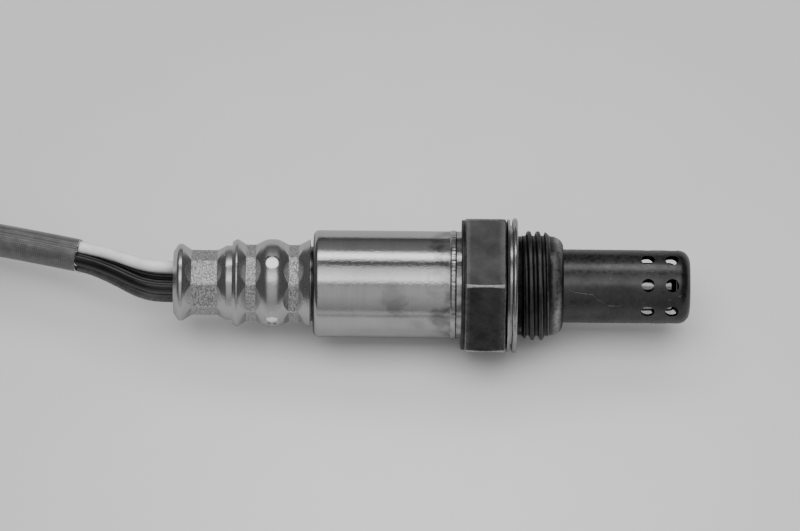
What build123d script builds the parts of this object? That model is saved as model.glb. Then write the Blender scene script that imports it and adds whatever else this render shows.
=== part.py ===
from build123d import *

import os
from math import cos, pi, radians, sin, tan

# Heated oxygen sensor with its leads and connector. Sizes are millimetres.
# The sensor's axis is X and its tip points to +X. X = 0 is the gasket's sealing
# face, Y = Z = 0 is the axis, and the sensor lies on its side with +Z up.

# ---------------------------------------------------------------- clearances
slip = 0.02            # round pieces that are pushed together
weld_fit = 0.05        # cover over the body's spigot, before the laser weld
heater_play = 0.1      # heater rod in the insulator's bore
thread_play = 0.1      # gasket bore over the thread's crests
element_play = 0.15    # all round the element's flange in the body's cavity

# ---------------------------------------------------------------- gasket
gasket_od = 22.4
gasket_height = 2.0
gasket_sheet = 0.4
gasket_dish = 0.35     # how far the rear layer's edge bends away from the hexagon
gasket_fold = 0.5      # distance between the folded layers' middles

# ---------------------------------------------------------------- screwed body
thread_d = 18.0
thread_start = 0.7
thread_end = 4.6
relief_d = 16.4
nose_end = 7.6
nose_shoulder_d = 16.5
nose_lip = 0.35        # flat ring of the rolled nose round the protector
nose_roll_length = 1.2 # from the nose's end to the flange that it holds
nose_roll_middle = (0.6, 0.72)   # the roll's middle: back from the end, share of its height
hex_flats = 22.0
hex_height = 6.65
hex_corner_d = 25.2
hex_end_d = 25.0       # the corners are a little lower at both ends of the hexagon
collar_d = 21.6
collar_height = 0.65
spigot_lip = 0.9
lip_wall = 0.9
front_bore_d = 7.2
cavity_d = 12.0
cavity_seat_x = -3.3   # front end of the conical seat in the body

# ---------------------------------------------------------------- protectors
protector_d = 12.2
protector_wall = 0.5
protector_end = 28.7
protector_corner = 2.0
protector_flange_d = 14.4
protector_end_hole_d = 2.6
gas_hole_d = 2.2
gas_hole_rows = (21.6, 25.6)
gas_hole_count = 8
gas_hole_turn = 27.0
inner_protector_d = 8.0
inner_protector_wall = 0.4
inner_protector_end = 26.5
inner_protector_corner = 1.2
inner_hole_d = 1.6
inner_hole_x = 10.7
inner_hole_count = 6
inner_end_hole_d = 1.6

# ---------------------------------------------------------------- sensing element
element_tip_x = 23.2
element_tip_d = 4.6
element_root_d = 6.2
element_root_x = 1.7
element_flange_height = 2.6
element_stem_d = 6.4
element_bore_d = 3.5
element_bottom_wall = 1.3
packing_height = 0.5
talc_height = 3.4
ceramic_ring_height = 2.7
crimp_ring_wire_d = 1.1
stem_end_x = -19.7
heater_d = 2.6
heater_pad_inset = 1.2     # the heater contact's pads start this far inside the insulator
heater_pad_length = 2.0
heater_end_x = -30.7
heater_tip_gap = 0.25

# ---------------------------------------------------------------- main cover
cover_d = 17.8
cover_wall = 0.5
cover_length = 24.6
cover_corner = 1.0
neck_wall = 0.4
neck_length = 23.2     # from the cover's shoulder to the end of the rolled tail
neck_root_d = 12.4

# ---------------------------------------------------------------- crimped tail
tail_lip_d = 12.8
tail_lip_crest = (0.8, 1.5)   # the lip's crest, from the tail's end
tail_mouth_d = 10.4
tail_lip_width = 1.9
tail_slope = 1.1
tail_crimp_d = 10.8
tail_crimp_flats = 10.1
tail_crimp_width = 4.3
tail_bulge_d = 12.4
neck_radii = [0.6, 0.7, 0.7, 2.6, 2.6, 0.7, 0.5, 0.8, 0.9, 0.6, 0.6, 0.4, 0.7]
crimp_sides = 8
jaw_rise = 3.0         # length of the jaws' 45 degree flanks
crimp_turn = 9.5       # turn of the first flat from +Y

# ---------------------------------------------------------------- vent filter
filter_cover_gap = 0.5
filter_cover_wall = 0.4
filter_cover_length = 12.9
filter_flare_d = 14.7
filter_bead_d = 14.7
filter_bead_width = 0.75
filter_bead_drop = 0.5
filter_radii = [1.6, 0.7, 2.6, 2.6, 0.7, 0.7, 0.45]   # at the filter cover's corners
filter_crimp_d = 12.74
filter_crimp_flats = 11.9
filter_crimp_width = 1.6
filter_flare_slope = 1.9
vent_bulge_d = 14.5
vent_bulge_flat = 1.9
vent_bulge_slope = 1.8
filter_sheet = 0.25
filter_overhang = 0.6  # how far the filter reaches past its two crimps
vent_hole_d = 2.1
vent_rim_d = 2.65
vent_count = 4
neck_vent_d = 1.6

# ---------------------------------------------------------------- contacts
strip_width = 1.1
strip_thickness = 0.25
barrel_d = 1.7
barrel_length = 3.4
barrel_inset = 0.3     # from the insulator's rear face
strip_overlap = 0.5    # how far the strip runs along its barrel
clip_wall = 0.3
clip_height = 2.5
insulator_d = 12.8
insulator_height = 8.0
insulator_hole_d = 1.9
spring_band = 0.3
spring_height = 4.2
spring_finger_count = 6
spring_finger_arc = 24.0

# ---------------------------------------------------------------- leads
lead_d = 2.0
lead_core_d = 1.0
lead_pitch_d = 5.16
lead_turn = 48.7
lead_play = 0.03
bush_recess = 0.5
bush_front_gap = 0.8
sleeve_d = 5.5
sleeve_wall = 0.2
bundle_pitch_d = 3.0   # circle of the four leads' centres inside the sleeve

# ---------------------------------------------------------------- lead route
floor_z = -gasket_od / 2
tie_sheet = 0.4
tie_corner = 2.0
tie_width = 4.0
tie_x = -150.0
tie_knot_length = 2.0
tie_knot_height = 1.6
tie_end_length = 2.4
tie_end_thickness = 0.8
tie_end_tilt = 50.0
hank_z = floor_z + tie_sheet + slip + sleeve_d / 2
sleeve_points = [      # from the sleeve's mouth down to the floor
    (-73.0, 5.2, -0.6),
    (-91.0, 9.9, -1.95),
    (-109.0, 14.2, -5.9),
    (-127.0, 16.5, hank_z),
    (-143.0, 16.5, hank_z),
]
lead_free_points = [   # the middle of the bundle, from the bush to inside the sleeve
    (-62.1, 0.25, 0.05),
    (-67.7, 3.2, -0.15),
]
lead_in_sleeve = 14.5
hank_right_x = -119.0  # centres of the hank's two folds
hank_left_x = -175.0
hank_fold_r = 18.2
fold_corners = 6
hank_stack = 5.7       # the third run lies on the first
hank_rise = [0.2, 1.2, 3.4, 6.0, 8.6, 8.6]   # the right fold climbs over the sleeve's entry
hank_out = [           # down from the stack to the floor: station, side step, height
    (-187.0, 0.0, hank_stack),
    (-197.0, -1.6, 4.0),
    (-206.5, -4.5, 0.0),
    (-217.0, -4.5, 0.0),
]
tail_length = 33.0      # from the sleeve's far end to the pins' barrels

# ---------------------------------------------------------------- connector
shell_width = 21.0
shell_height = 15.0
shell_wall = 1.5
shell_depth = 16.0
shell_corner = 3.0
back_width = 17.6
back_height = 12.4
back_length = 16.0
back_corner = 2.2
web_thickness = 6.0
seal_length = 5.0
seal_fit = 0.05
crimp_gap = 0.2         # from the seal's inner face to the pins' barrels
retainer_cap = 1.4
retainer_rim = 1.2
retainer_hole_play = 0.3
pin_pitch_y = 4.6
pin_pitch_z = 4.2
pin_width = 2.2
pin_thickness = 0.8
pin_reach = 9.0
pin_play = 0.05
connector_y = 6.0
guide_rib = 0.9
guide_rib_height = 2.0
ramp_inset = 3.0
ramp_height = 1.6
ramp_length = 5.0
ramp_width = 6.0

# ---------------------------------------------------------------- stations on the axis
hex_front_x = -gasket_height
hex_rear_x = hex_front_x - hex_height
collar_rear_x = hex_rear_x - collar_height
spigot_d = cover_d - 2 * cover_wall - 2 * weld_fit
cover_rear_x = collar_rear_x - cover_length
tail_end_x = cover_rear_x - neck_length
filter_cover_front_x = cover_rear_x - filter_cover_gap
filter_crimp_front_x = filter_cover_front_x - filter_flare_slope
vent_x = filter_crimp_front_x - filter_crimp_width - vent_bulge_slope - vent_bulge_flat / 2
filter_crimp_rear_x = 2 * vent_x - filter_crimp_front_x + filter_crimp_width
tail_crimp_rear_x = tail_end_x + tail_lip_width + tail_slope
insulator_rear_x = cover_rear_x + cover_wall
insulator_front_x = insulator_rear_x + insulator_height
barrel_rear_x = insulator_rear_x + barrel_inset
barrel_front_x = barrel_rear_x + barrel_length
bush_rear_x = tail_end_x + bush_recess
bush_front_x = cover_rear_x - bush_front_gap
lead_turns = {name: lead_turn + 90 * i
              for i, name in enumerate(("white", "black_b", "grey", "black_a"))}
element_flange_d = cavity_d - 2 * element_play
seat_run = (cavity_d - front_bore_d) / 2      # the seat in the body is a 45 degree cone
cavity_seat_end_x = cavity_seat_x - seat_run
flange_rear_x = cavity_seat_end_x - packing_height - element_flange_height
talc_rear_x = flange_rear_x - talc_height
ceramic_ring_rear_x = talc_rear_x - ceramic_ring_height
crimp_ring_rear_x = ceramic_ring_rear_x - crimp_ring_wire_d
flange_front_x = nose_end - nose_roll_length


# ================================================================ helpers
def turned(corners):
    """A ring or shaft turned about the sensor's axis from (station, radius) corners."""
    return revolve(make_face(Polyline(*corners, close=True)), Axis.X)


def tube(x_from, x_to, outer_d, inner_d):
    return turned([(x_from, inner_d / 2), (x_from, outer_d / 2),
                   (x_to, outer_d / 2), (x_to, inner_d / 2)])


def turned_form(corners, radii, depth):
    """A solid of rounded corners, with its surface sunk by depth towards the axis."""
    sunk = [(x, r - depth) for x, r in corners]
    outline = FilletPolyline(*sunk, radius=radii)
    closing = Polyline(sunk[-1], (sunk[-1][0], 0), (sunk[0][0], 0), sunk[0])
    return revolve(make_face(outline + closing), Axis.X)


def radial_drill(station, diameter, inner_r, outer_r, turn):
    drill = Cylinder(diameter / 2, outer_r - inner_r)
    return Rot(X=turn) * Pos(station, (inner_r + outer_r) / 2, 0) * Rot(X=90) * drill


def jaws(x_rear, x_front, flats, depth):
    """The eight crimping jaws: flat noses across the flats, flanks that open at 45 degrees."""
    foot = flats / 2 - depth
    top = foot + jaw_rise
    nose = make_face(Polyline((x_rear, foot), (x_front, foot), (x_front + jaw_rise, top),
                              (x_rear - jaw_rise, top), close=True))
    jaw = extrude(nose, amount=top, both=True)
    return [Rot(X=crimp_turn + 360 / crimp_sides * i) * jaw for i in range(crimp_sides)]


def at_turn(radius, turn):
    return radius * cos(radians(turn)), radius * sin(radians(turn))


def bore_along_x(diameter, x_from, x_to, y, z):
    length = abs(x_to - x_from)
    return Pos((x_from + x_to) / 2, y, z) * Rot(Y=90) * Cylinder(diameter / 2, length)


def corner_radii(points):
    """Each arc of a cord is as large as its two runs allow."""
    radii = []
    for before, corner, after in zip(points, points[1:], points[2:]):
        run_in = Vector(*corner) - Vector(*before)
        run_out = Vector(*after) - Vector(*corner)
        half_turn = radians(run_in.get_angle(run_out)) / 2
        radii.append(0.45 * min(run_in.length, run_out.length) / tan(half_turn))
    return radii


def cord_path(name, points):
    radii = corner_radii(points)
    print(name, "arc radii", [round(r, 1) for r in radii])
    return FilletPolyline(*points, radius=radii)


def cord_rod(name, points, diameter):
    path = cord_path(name, points)
    rod = sweep(Plane(origin=path @ 0, z_dir=path % 0) * Circle(diameter / 2), path=path)
    print(name, "length", round(path.length, 2), "volume / (section x length)",
          round(rod.volume / (pi * diameter**2 / 4 * path.length), 4))
    return rod


# ================================================================ screwed body
def make_housing():
    nose_bore_d = protector_d + 2 * slip
    flange_room = protector_wall + inner_protector_wall
    recess_rear_x = flange_front_x - flange_room
    nose = [
        (thread_start, relief_d / 2), (thread_start + (thread_d - relief_d) / 2, thread_d / 2),
        (thread_end, thread_d / 2), (thread_end + (thread_d - nose_shoulder_d) / 2,
                                     nose_shoulder_d / 2),
    ]
    lip_r = nose_bore_d / 2 + nose_lip
    rolled = ThreePointArc(
        nose[-1],
        (nose_end - nose_roll_middle[0],
         lip_r + nose_roll_middle[1] * (nose_shoulder_d / 2 - lip_r)),
        (nose_end, lip_r))
    cone_end = (cavity_seat_end_x, cavity_d / 2)
    lip_r_in = cavity_d / 2 - lip_wall
    outline = (
        Polyline((hex_front_x, relief_d / 2), *nose)
        + rolled
        + Polyline(
            (nose_end, lip_r), (nose_end, nose_bore_d / 2), (flange_front_x, nose_bore_d / 2),
            (flange_front_x, protector_flange_d / 2 + slip),
            (recess_rear_x, protector_flange_d / 2 + slip),
            (recess_rear_x, front_bore_d / 2), (cavity_seat_x, front_bore_d / 2), cone_end,
            (crimp_ring_rear_x, cavity_d / 2), (crimp_ring_rear_x, lip_r_in),
            (crimp_ring_rear_x - spigot_lip, lip_r_in),
            (crimp_ring_rear_x - spigot_lip, cavity_d / 2 + 0.3),
            (ceramic_ring_rear_x, spigot_d / 2), (collar_rear_x, spigot_d / 2),
            (collar_rear_x, relief_d / 2), (hex_front_x, relief_d / 2)))
    core = revolve(make_face(outline), Axis.X)
    collar = tube(collar_rear_x, hex_rear_x, collar_d, relief_d - 1)
    return core + collar + make_hexagon()


def make_hexagon():
    """The hexagon's corners are rolled: a barrel with lower ends cuts them off."""
    prism = Pos(hex_rear_x, 0, 0) * Rot(Y=90) * extrude(
        RegularPolygon(hex_flats / 2, 6, major_radius=False, rotation=30), hex_height)
    middle_x = (hex_front_x + hex_rear_x) / 2
    crown = ThreePointArc((hex_rear_x, hex_end_d / 2), (middle_x, hex_corner_d / 2),
                          (hex_front_x, hex_end_d / 2))
    sides = Polyline((hex_front_x, hex_end_d / 2), (hex_front_x, 0), (hex_rear_x, 0),
                     (hex_rear_x, hex_end_d / 2))
    barrel = revolve(make_face(crown + sides), Axis.X)
    hollow = Pos(middle_x, 0, 0) * Rot(Y=90) * Cylinder(relief_d / 2 - 0.5, hex_height)
    return (prism & barrel) - hollow


def make_gasket():
    """One sheet folded in three: a dished rear layer, an inner fold and a full front fold."""
    inner_r = thread_d / 2 + thread_play
    outer_r = gasket_od / 2
    half = gasket_sheet / 2
    front_x = -half
    middle_x = front_x - gasket_fold
    rear_x = -gasket_height + half
    fold_r = gasket_fold / 2
    top_r = outer_r - half - fold_r
    low_r = inner_r + half
    fold_inner_r = (2 * inner_r + outer_r) / 3   # the rear layers start a third of the way out
    line = (
        Polyline((front_x, low_r), (front_x, top_r))
        + ThreePointArc((front_x, top_r), (front_x - fold_r, top_r + fold_r), (middle_x, top_r))
        + Polyline((middle_x, top_r), (middle_x, fold_inner_r), (rear_x, fold_inner_r),
                   (rear_x, (inner_r + outer_r) / 2),
                   (rear_x + gasket_dish, outer_r - half)))
    section = trace(line, line_width=gasket_sheet)
    return revolve(section, Axis.X)


# ================================================================ protectors
def cup(outer_d, wall, x_root, x_end, corner, flange_d, end_hole_d):
    """A drawn cup with its mouth flanged outwards at x_root and a hole in its end."""
    outer = turned_form([(x_root, outer_d / 2), (x_end, outer_d / 2), (x_end, 0.01)], corner, 0)
    inner = turned_form([(x_root, outer_d / 2 - wall), (x_end - wall, outer_d / 2 - wall),
                         (x_end - wall, 0.01)], corner - wall, 0)
    flange = tube(x_root, x_root + wall, flange_d, outer_d - 2 * wall)
    mouth = bore_along_x(end_hole_d, x_end - 2 * wall, x_end + wall, 0, 0)
    return outer + flange - inner - mouth


def make_outer_protector():
    root_x = flange_front_x - protector_wall
    shell = cup(protector_d, protector_wall, root_x, protector_end, protector_corner,
                protector_flange_d, protector_end_hole_d)
    holes = [radial_drill(row, gas_hole_d, protector_d / 2 - 2 * protector_wall,
                          protector_d / 2 + 1, gas_hole_turn + 360 / gas_hole_count * i)
             for row in gas_hole_rows for i in range(gas_hole_count)]
    return shell - holes


def make_inner_protector():
    root_x = flange_front_x - protector_wall - inner_protector_wall
    shell = cup(inner_protector_d, inner_protector_wall, root_x, inner_protector_end,
                inner_protector_corner, protector_flange_d, inner_end_hole_d)
    holes = [radial_drill(inner_hole_x, inner_hole_d,
                          inner_protector_d / 2 - 2 * inner_protector_wall,
                          inner_protector_d / 2 + 1, 360 / inner_hole_count * i)
             for i in range(inner_hole_count)]
    return shell - holes


# ================================================================ sensing element and its seals
def make_sensing_element():
    """A closed zirconia thimble, held by its flange, open towards the leads."""
    tip_r = element_tip_d / 2
    stem_r = element_stem_d / 2
    flange_r = element_flange_d / 2
    cone_x = cavity_seat_x - packing_height
    foot_r = front_bore_d / 2 + 0.2
    bore_r = element_bore_d / 2
    bottom_x = element_tip_x - element_bottom_wall
    outside = (
        ThreePointArc((element_tip_x, 0),
                      (element_tip_x - tip_r + tip_r * sin(pi / 4), tip_r * cos(pi / 4)),
                      (element_tip_x - tip_r, tip_r))
        + Polyline(
            (element_tip_x - tip_r, tip_r), (element_root_x, element_root_d / 2),
            (cone_x - 0.2, element_root_d / 2), (cone_x - 0.2, foot_r),
            (cone_x - 0.2 - (flange_r - foot_r), flange_r), (flange_rear_x, flange_r),
            (flange_rear_x, stem_r), (stem_end_x, stem_r), (stem_end_x, bore_r),
            (bottom_x - bore_r, bore_r))
        + ThreePointArc((bottom_x - bore_r, bore_r),
                        (bottom_x - bore_r + bore_r * sin(pi / 4), bore_r * cos(pi / 4)),
                        (bottom_x, 0))
        + Line((bottom_x, 0), (element_tip_x, 0)))
    return revolve(make_face(outside), Axis.X)


def make_heater_rod():
    tip_x = element_tip_x - element_bottom_wall - heater_tip_gap
    rod = bore_along_x(heater_d, heater_end_x, tip_x - 0.6, 0, 0)
    nose = turned([(tip_x - 0.6, 0), (tip_x - 0.6, heater_d / 2), (tip_x, heater_d / 2 - 0.6),
                   (tip_x, 0)])
    return rod + nose


def make_lower_packing():
    """A thin cone between the body's seat and the element's flange."""
    inner_r = front_bore_d / 2 + 0.3
    outer_r = element_flange_d / 2 - 0.3
    start_x = cavity_seat_x - (inner_r - front_bore_d / 2)
    end_x = cavity_seat_x - (outer_r - front_bore_d / 2)
    return turned([(start_x, inner_r), (end_x, outer_r), (end_x - packing_height, outer_r),
                   (start_x - packing_height, inner_r)])


def make_talc_seal():
    return tube(talc_rear_x, flange_rear_x, cavity_d - 2 * slip, element_stem_d + 2 * slip)


def make_ceramic_ring():
    return tube(ceramic_ring_rear_x, talc_rear_x, cavity_d - 2 * slip, element_stem_d + 4 * slip)


def make_crimp_ring():
    wire_r = crimp_ring_wire_d / 2
    centre = (ceramic_ring_rear_x - wire_r, cavity_d / 2 - slip - wire_r)
    return revolve(Pos(*centre) * Circle(wire_r), Axis.X)


# ================================================================ contacts
def strip(corners, turn):
    """A flat spring strip bent in the plane through the axis at this turn."""
    line = Polyline(*corners)
    bent = extrude(trace(line, line_width=strip_thickness), amount=strip_width / 2, both=True)
    return Rot(X=turn) * bent


def barrel(turn):
    """The part of a contact that is crimped on its lead's bared wire."""
    y, z = at_turn(lead_pitch_d / 2, turn)
    shell = bore_along_x(barrel_d, barrel_rear_x, barrel_front_x, y, z)
    return shell - wire_bore(turn)


def wire_bore(turn):
    y, z = at_turn(lead_pitch_d / 2, turn)
    return bore_along_x(lead_core_d + 2 * slip, barrel_rear_x - 1,
                        barrel_front_x - strip_overlap, y, z)


def make_outer_contact():
    turn = lead_turns["white"]
    inner_d = element_stem_d + 2 * slip
    clip = tube(stem_end_x, stem_end_x + clip_height, inner_d + 2 * clip_wall, inner_d)
    strip_r = inner_d / 2 + clip_wall / 2
    corners = [(stem_end_x + 1, strip_r), (stem_end_x - 1, strip_r),
               (insulator_front_x + 1, lead_pitch_d / 2),
               (barrel_front_x - strip_overlap, lead_pitch_d / 2)]
    gap = Rot(X=turn + 180) * Pos(stem_end_x + clip_height / 2, inner_d / 2, 0) * Box(
        2 * clip_height, 2, 1.2)
    return clip - gap + strip(corners, turn) - wire_bore(turn) + barrel(turn)


def make_inner_contact():
    turn = lead_turns["grey"]
    outer_d = element_bore_d - 2 * slip
    inner_d = heater_d + 2 * slip
    sleeve_in = tube(stem_end_x, stem_end_x + 2 * clip_height, outer_d, inner_d)
    collar = tube(stem_end_x - clip_wall, stem_end_x, lead_pitch_d, inner_d)
    corners = [(stem_end_x - clip_wall / 2, lead_pitch_d / 2 - 0.4),
               (stem_end_x - clip_wall / 2, lead_pitch_d / 2),
               (barrel_front_x - strip_overlap, lead_pitch_d / 2)]
    return sleeve_in + collar + strip(corners, turn) - wire_bore(turn) + barrel(turn)


def make_heater_contact(lead):
    """A pad brazed on the heater's end, with its strip bent out to the lead's barrel."""
    turn = lead_turns[lead]
    pad_rear_x = insulator_front_x + heater_pad_inset
    pad_front_x = pad_rear_x + heater_pad_length
    pad = tube(pad_rear_x, pad_front_x, heater_d + 2 * clip_wall + 2 * slip, heater_d + 2 * slip)
    quarter = Rot(X=turn) * Pos((pad_rear_x + pad_front_x) / 2, heater_d, 0) * Box(
        3 * clip_height, 2 * heater_d, heater_d * 0.8)
    corners = [(pad_front_x - 0.5, heater_d / 2 + slip + clip_wall / 2),
               (pad_rear_x + 0.4, heater_d / 2 + slip + clip_wall / 2),
               (insulator_front_x + 0.4, lead_pitch_d / 2),
               (barrel_front_x - strip_overlap, lead_pitch_d / 2)]
    return (pad & quarter) + strip(corners, turn) - wire_bore(turn) + barrel(turn)


def make_terminal_insulator():
    body = tube(insulator_rear_x, insulator_front_x, insulator_d, heater_d + 2 * heater_play)
    body -= [bore_along_x(insulator_hole_d, insulator_rear_x - 1, insulator_front_x + 1,
                          *at_turn(lead_pitch_d / 2, turn)) for turn in lead_turns.values()]
    return body


def make_insulator_spring():
    """A band round the insulator with bowed fingers that press on the cover."""
    inner_d = insulator_d + 2 * slip
    middle_x = (insulator_rear_x + insulator_front_x) / 2
    band = tube(middle_x - spring_height / 2, middle_x + spring_height / 2,
                inner_d + 2 * spring_band, inner_d)
    root_r = inner_d / 2 + spring_band / 2
    crest_r = cover_d / 2 - cover_wall - slip - spring_band / 2
    bow = ThreePointArc((middle_x - spring_height / 2 + 0.3, root_r), (middle_x, crest_r),
                        (middle_x + spring_height / 2 - 0.3, root_r))
    finger = revolve(trace(bow, line_width=spring_band), Axis.X, spring_finger_arc)
    for i in range(spring_finger_count):
        band += Rot(X=360 / spring_finger_count * i) * finger
    return band


# ================================================================ covers and crimps
def filter_outline():
    """The vent cover's outside, from its front flare back to the rear bead."""
    bead_x = filter_cover_front_x - filter_cover_length
    crest_r = vent_bulge_d / 2 + 0.06
    crimp_r = filter_crimp_d / 2
    corners = [
        (filter_cover_front_x, filter_flare_d / 2), (filter_crimp_front_x, crimp_r),
        (filter_crimp_front_x - filter_crimp_width, crimp_r),
        (vent_x + vent_bulge_flat / 2, crest_r), (vent_x - vent_bulge_flat / 2, crest_r),
        (filter_crimp_rear_x, crimp_r), (filter_crimp_rear_x - filter_crimp_width, crimp_r),
        (bead_x + filter_bead_width, filter_bead_d / 2),
        (bead_x, filter_bead_d / 2 - filter_bead_drop),
    ]
    return corners, filter_radii


def filter_form(depth):
    corners, radii = filter_outline()
    form = turned_form(corners, radii, depth)
    for front_x in (filter_crimp_front_x, filter_crimp_rear_x):
        form -= jaws(front_x - filter_crimp_width, front_x, filter_crimp_flats, depth)
    return form


def neck_form(depth):
    """The cover's neck and tail: the filter's crimps, the bulge, the tail crimp and its lip."""
    sunk = filter_cover_wall + filter_sheet
    crimp_r = filter_crimp_d / 2 - sunk
    crest_r = vent_bulge_d / 2 - sunk
    bulge_r = tail_bulge_d / 2
    crimp1_r = tail_crimp_d / 2
    crimp1_front_x = tail_crimp_rear_x + tail_crimp_width
    corners = [
        (cover_rear_x + 2 * cover_wall, neck_root_d / 2), (filter_cover_front_x, neck_root_d / 2),
        (filter_crimp_front_x, crimp_r), (filter_crimp_front_x - filter_crimp_width, crimp_r),
        (vent_x + vent_bulge_flat / 2, crest_r), (vent_x - vent_bulge_flat / 2, crest_r),
        (filter_crimp_rear_x, crimp_r), (filter_crimp_rear_x - filter_crimp_width, crimp_r),
        (filter_crimp_rear_x - filter_crimp_width - 1.2, bulge_r),
        (crimp1_front_x + tail_slope + 0.4, bulge_r), (crimp1_front_x, crimp1_r),
        (tail_crimp_rear_x, crimp1_r), (tail_end_x + tail_lip_crest[1], tail_lip_d / 2),
        (tail_end_x + tail_lip_crest[0], tail_lip_d / 2), (tail_end_x, tail_mouth_d / 2),
    ]
    radii = neck_radii
    form = turned_form(corners, radii, depth)
    for front_x in (filter_crimp_front_x, filter_crimp_rear_x):
        form -= jaws(front_x - filter_crimp_width, front_x, filter_crimp_flats, depth + sunk)
    return form - jaws(tail_crimp_rear_x, crimp1_front_x, tail_crimp_flats, depth)


def vent_holes(diameter, inner_r, outer_r):
    return [radial_drill(vent_x, diameter, inner_r, outer_r, 360 / vent_count * i)
            for i in range(vent_count)]


def make_main_cover():
    """Drawn in one piece: the wide body, its shoulder, and the neck that is crimped twice."""
    outer_r = cover_d / 2
    body = turned_form([(collar_rear_x, outer_r), (cover_rear_x, outer_r), (cover_rear_x, 0.01)],
                       cover_corner, 0)
    room = turned_form([(collar_rear_x, outer_r - cover_wall),
                        (cover_rear_x + cover_wall, outer_r - cover_wall),
                        (cover_rear_x + cover_wall, 0.01)], cover_corner - cover_wall, 0)
    return body + neck_form(0) - room - neck_form(neck_wall) - vent_holes(
        neck_vent_d, tail_bulge_d / 2 - 2, vent_bulge_d / 2)


def make_filter_cover():
    shell = filter_form(0) - filter_form(filter_cover_wall)
    rim = vent_bulge_d / 2
    countersink = Cone(vent_hole_d / 2, vent_rim_d / 2 + 0.1, filter_cover_wall * 0.8)
    sinks = [Rot(X=360 / vent_count * i) * Pos(vent_x, rim - 0.1, 0) * Rot(X=-90) * countersink
             for i in range(vent_count)]
    return shell - vent_holes(vent_hole_d, rim - 1, rim + 1) - sinks


def make_vent_filter():
    """A band of porous white sheet, pressed between the neck and the vent cover."""
    front_x = filter_crimp_front_x + filter_overhang
    rear_x = filter_crimp_rear_x - filter_crimp_width - filter_overhang
    band = filter_form(filter_cover_wall + slip) - neck_form(-slip)
    window = tube(rear_x, front_x, cover_d, lead_d)
    return band & window


def make_cable_bush():
    body = neck_form(neck_wall + slip)
    window = tube(bush_rear_x, bush_front_x, cover_d, 0.4)
    body = body & (window + bore_along_x(1, bush_rear_x, bush_front_x, 0, 0))
    return body - [bore_along_x(lead_d + 2 * lead_play, bush_rear_x - 1, bush_front_x + 1,
                                *at_turn(lead_pitch_d / 2, turn)) for turn in lead_turns.values()]


# ================================================================ leads and sleeve
def lead_route(turn):
    """From the bush's face, over to the sleeve and straight on inside it."""
    mouth, first_corner = Vector(*sleeve_points[0]), Vector(*sleeve_points[1])
    along = (first_corner - mouth).normalized()
    inside = mouth + along * lead_in_sleeve
    bush_y, bush_z = at_turn(lead_pitch_d / 2, turn)
    tight_y, tight_z = at_turn(bundle_pitch_d / 2, turn)
    mid_y, mid_z = at_turn((lead_pitch_d + bundle_pitch_d) / 4, turn)
    first, second = lead_free_points
    return [
        (tail_end_x, bush_y, bush_z),
        (first[0], first[1] + bush_y, first[2] + bush_z),
        (second[0], second[1] + mid_y, second[2] + mid_z),
        (mouth.X, mouth.Y + tight_y, mouth.Z + tight_z),
        (inside.X, inside.Y + tight_y, inside.Z + tight_z),
    ]


def make_lead(name):
    """An insulated wire: bared in its barrel, straight through the bush, then free."""
    turn = lead_turns[name]
    y, z = at_turn(lead_pitch_d / 2, turn)
    core = bore_along_x(lead_core_d, barrel_front_x - 1, bush_front_x + 0.4, y, z)
    straight = bore_along_x(lead_d, tail_end_x, bush_front_x + 0.4, y, z)
    return core + straight + cord_rod("lead_" + name, lead_route(turn), lead_d)


def make_sleeve():
    path = cord_path("sleeve", sleeve_points)
    start = Plane(origin=path @ 0, z_dir=path % 0)
    ring = Circle(sleeve_d / 2) - Circle(sleeve_d / 2 - sleeve_wall)
    woven = sweep(start * ring, path=path)
    print("sleeve length", round(path.length, 2), "volume / (section x length)",
          round(woven.volume / (ring.area * path.length), 4))
    return woven


def fold_route(centre_x, from_turn, heights):
    """Corner points round one fold of the hank, half a turn from from_turn."""
    step = 180 / fold_corners
    reach = hank_fold_r / cos(radians(step / 2))
    turns = [radians(from_turn + step * (i + 0.5)) for i in range(fold_corners)]
    return [(centre_x + reach * cos(turn), hank_mid_y + reach * sin(turn), hank_z + height)
            for turn, height in zip(turns, heights)]


hank_y = sleeve_points[-1][1]
hank_mid_y = hank_y - hank_fold_r
hank_route = [
    sleeve_points[-1],
    *fold_route(hank_left_x, 90, [0] * fold_corners),
    *fold_route(hank_right_x, -90, hank_rise),
    (-127.0, hank_y, hank_z + 7.0),
    (-141.0, hank_y, hank_z + hank_stack),
    *[(x, hank_y + side, hank_z + height) for x, side, height in hank_out],
]
sleeve_end = hank_route[-1]


def make_sleeve_hank():
    """The sleeve's folded length, with the leads inside it, as one round rod."""
    return cord_rod("sleeve_hank", hank_route, sleeve_d)


def make_hank_tie():
    """A flat ribbon round the two stacked runs, with its ends twisted together on top."""
    width = sleeve_d + 2 * slip
    height = hank_stack + sleeve_d + 2 * slip
    middle_z = hank_z + hank_stack / 2
    hole = RectangleRounded(width, height, tie_corner)
    band = RectangleRounded(width + 2 * tie_sheet, height + 2 * tie_sheet,
                            tie_corner + tie_sheet) - hole
    loop = Pos(tie_x - tie_width / 2, hank_y, middle_z) * Rot(Y=90) * Rot(Z=90) * extrude(
        band, tie_width)
    top_z = middle_z + height / 2 + tie_sheet
    knot = Pos(tie_x, hank_y, top_z + tie_knot_height / 2 - 0.1) * Box(
        tie_width, tie_knot_length, tie_knot_height)
    end = Box(tie_width, tie_end_length, tie_end_thickness)
    ends = [Pos(tie_x, hank_y + side * (tie_knot_length + tie_end_length) / 2.5,
                top_z + tie_knot_height) * Rot(X=side * tie_end_tilt) * end for side in (-1, 1)]
    return loop + knot + ends


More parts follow.
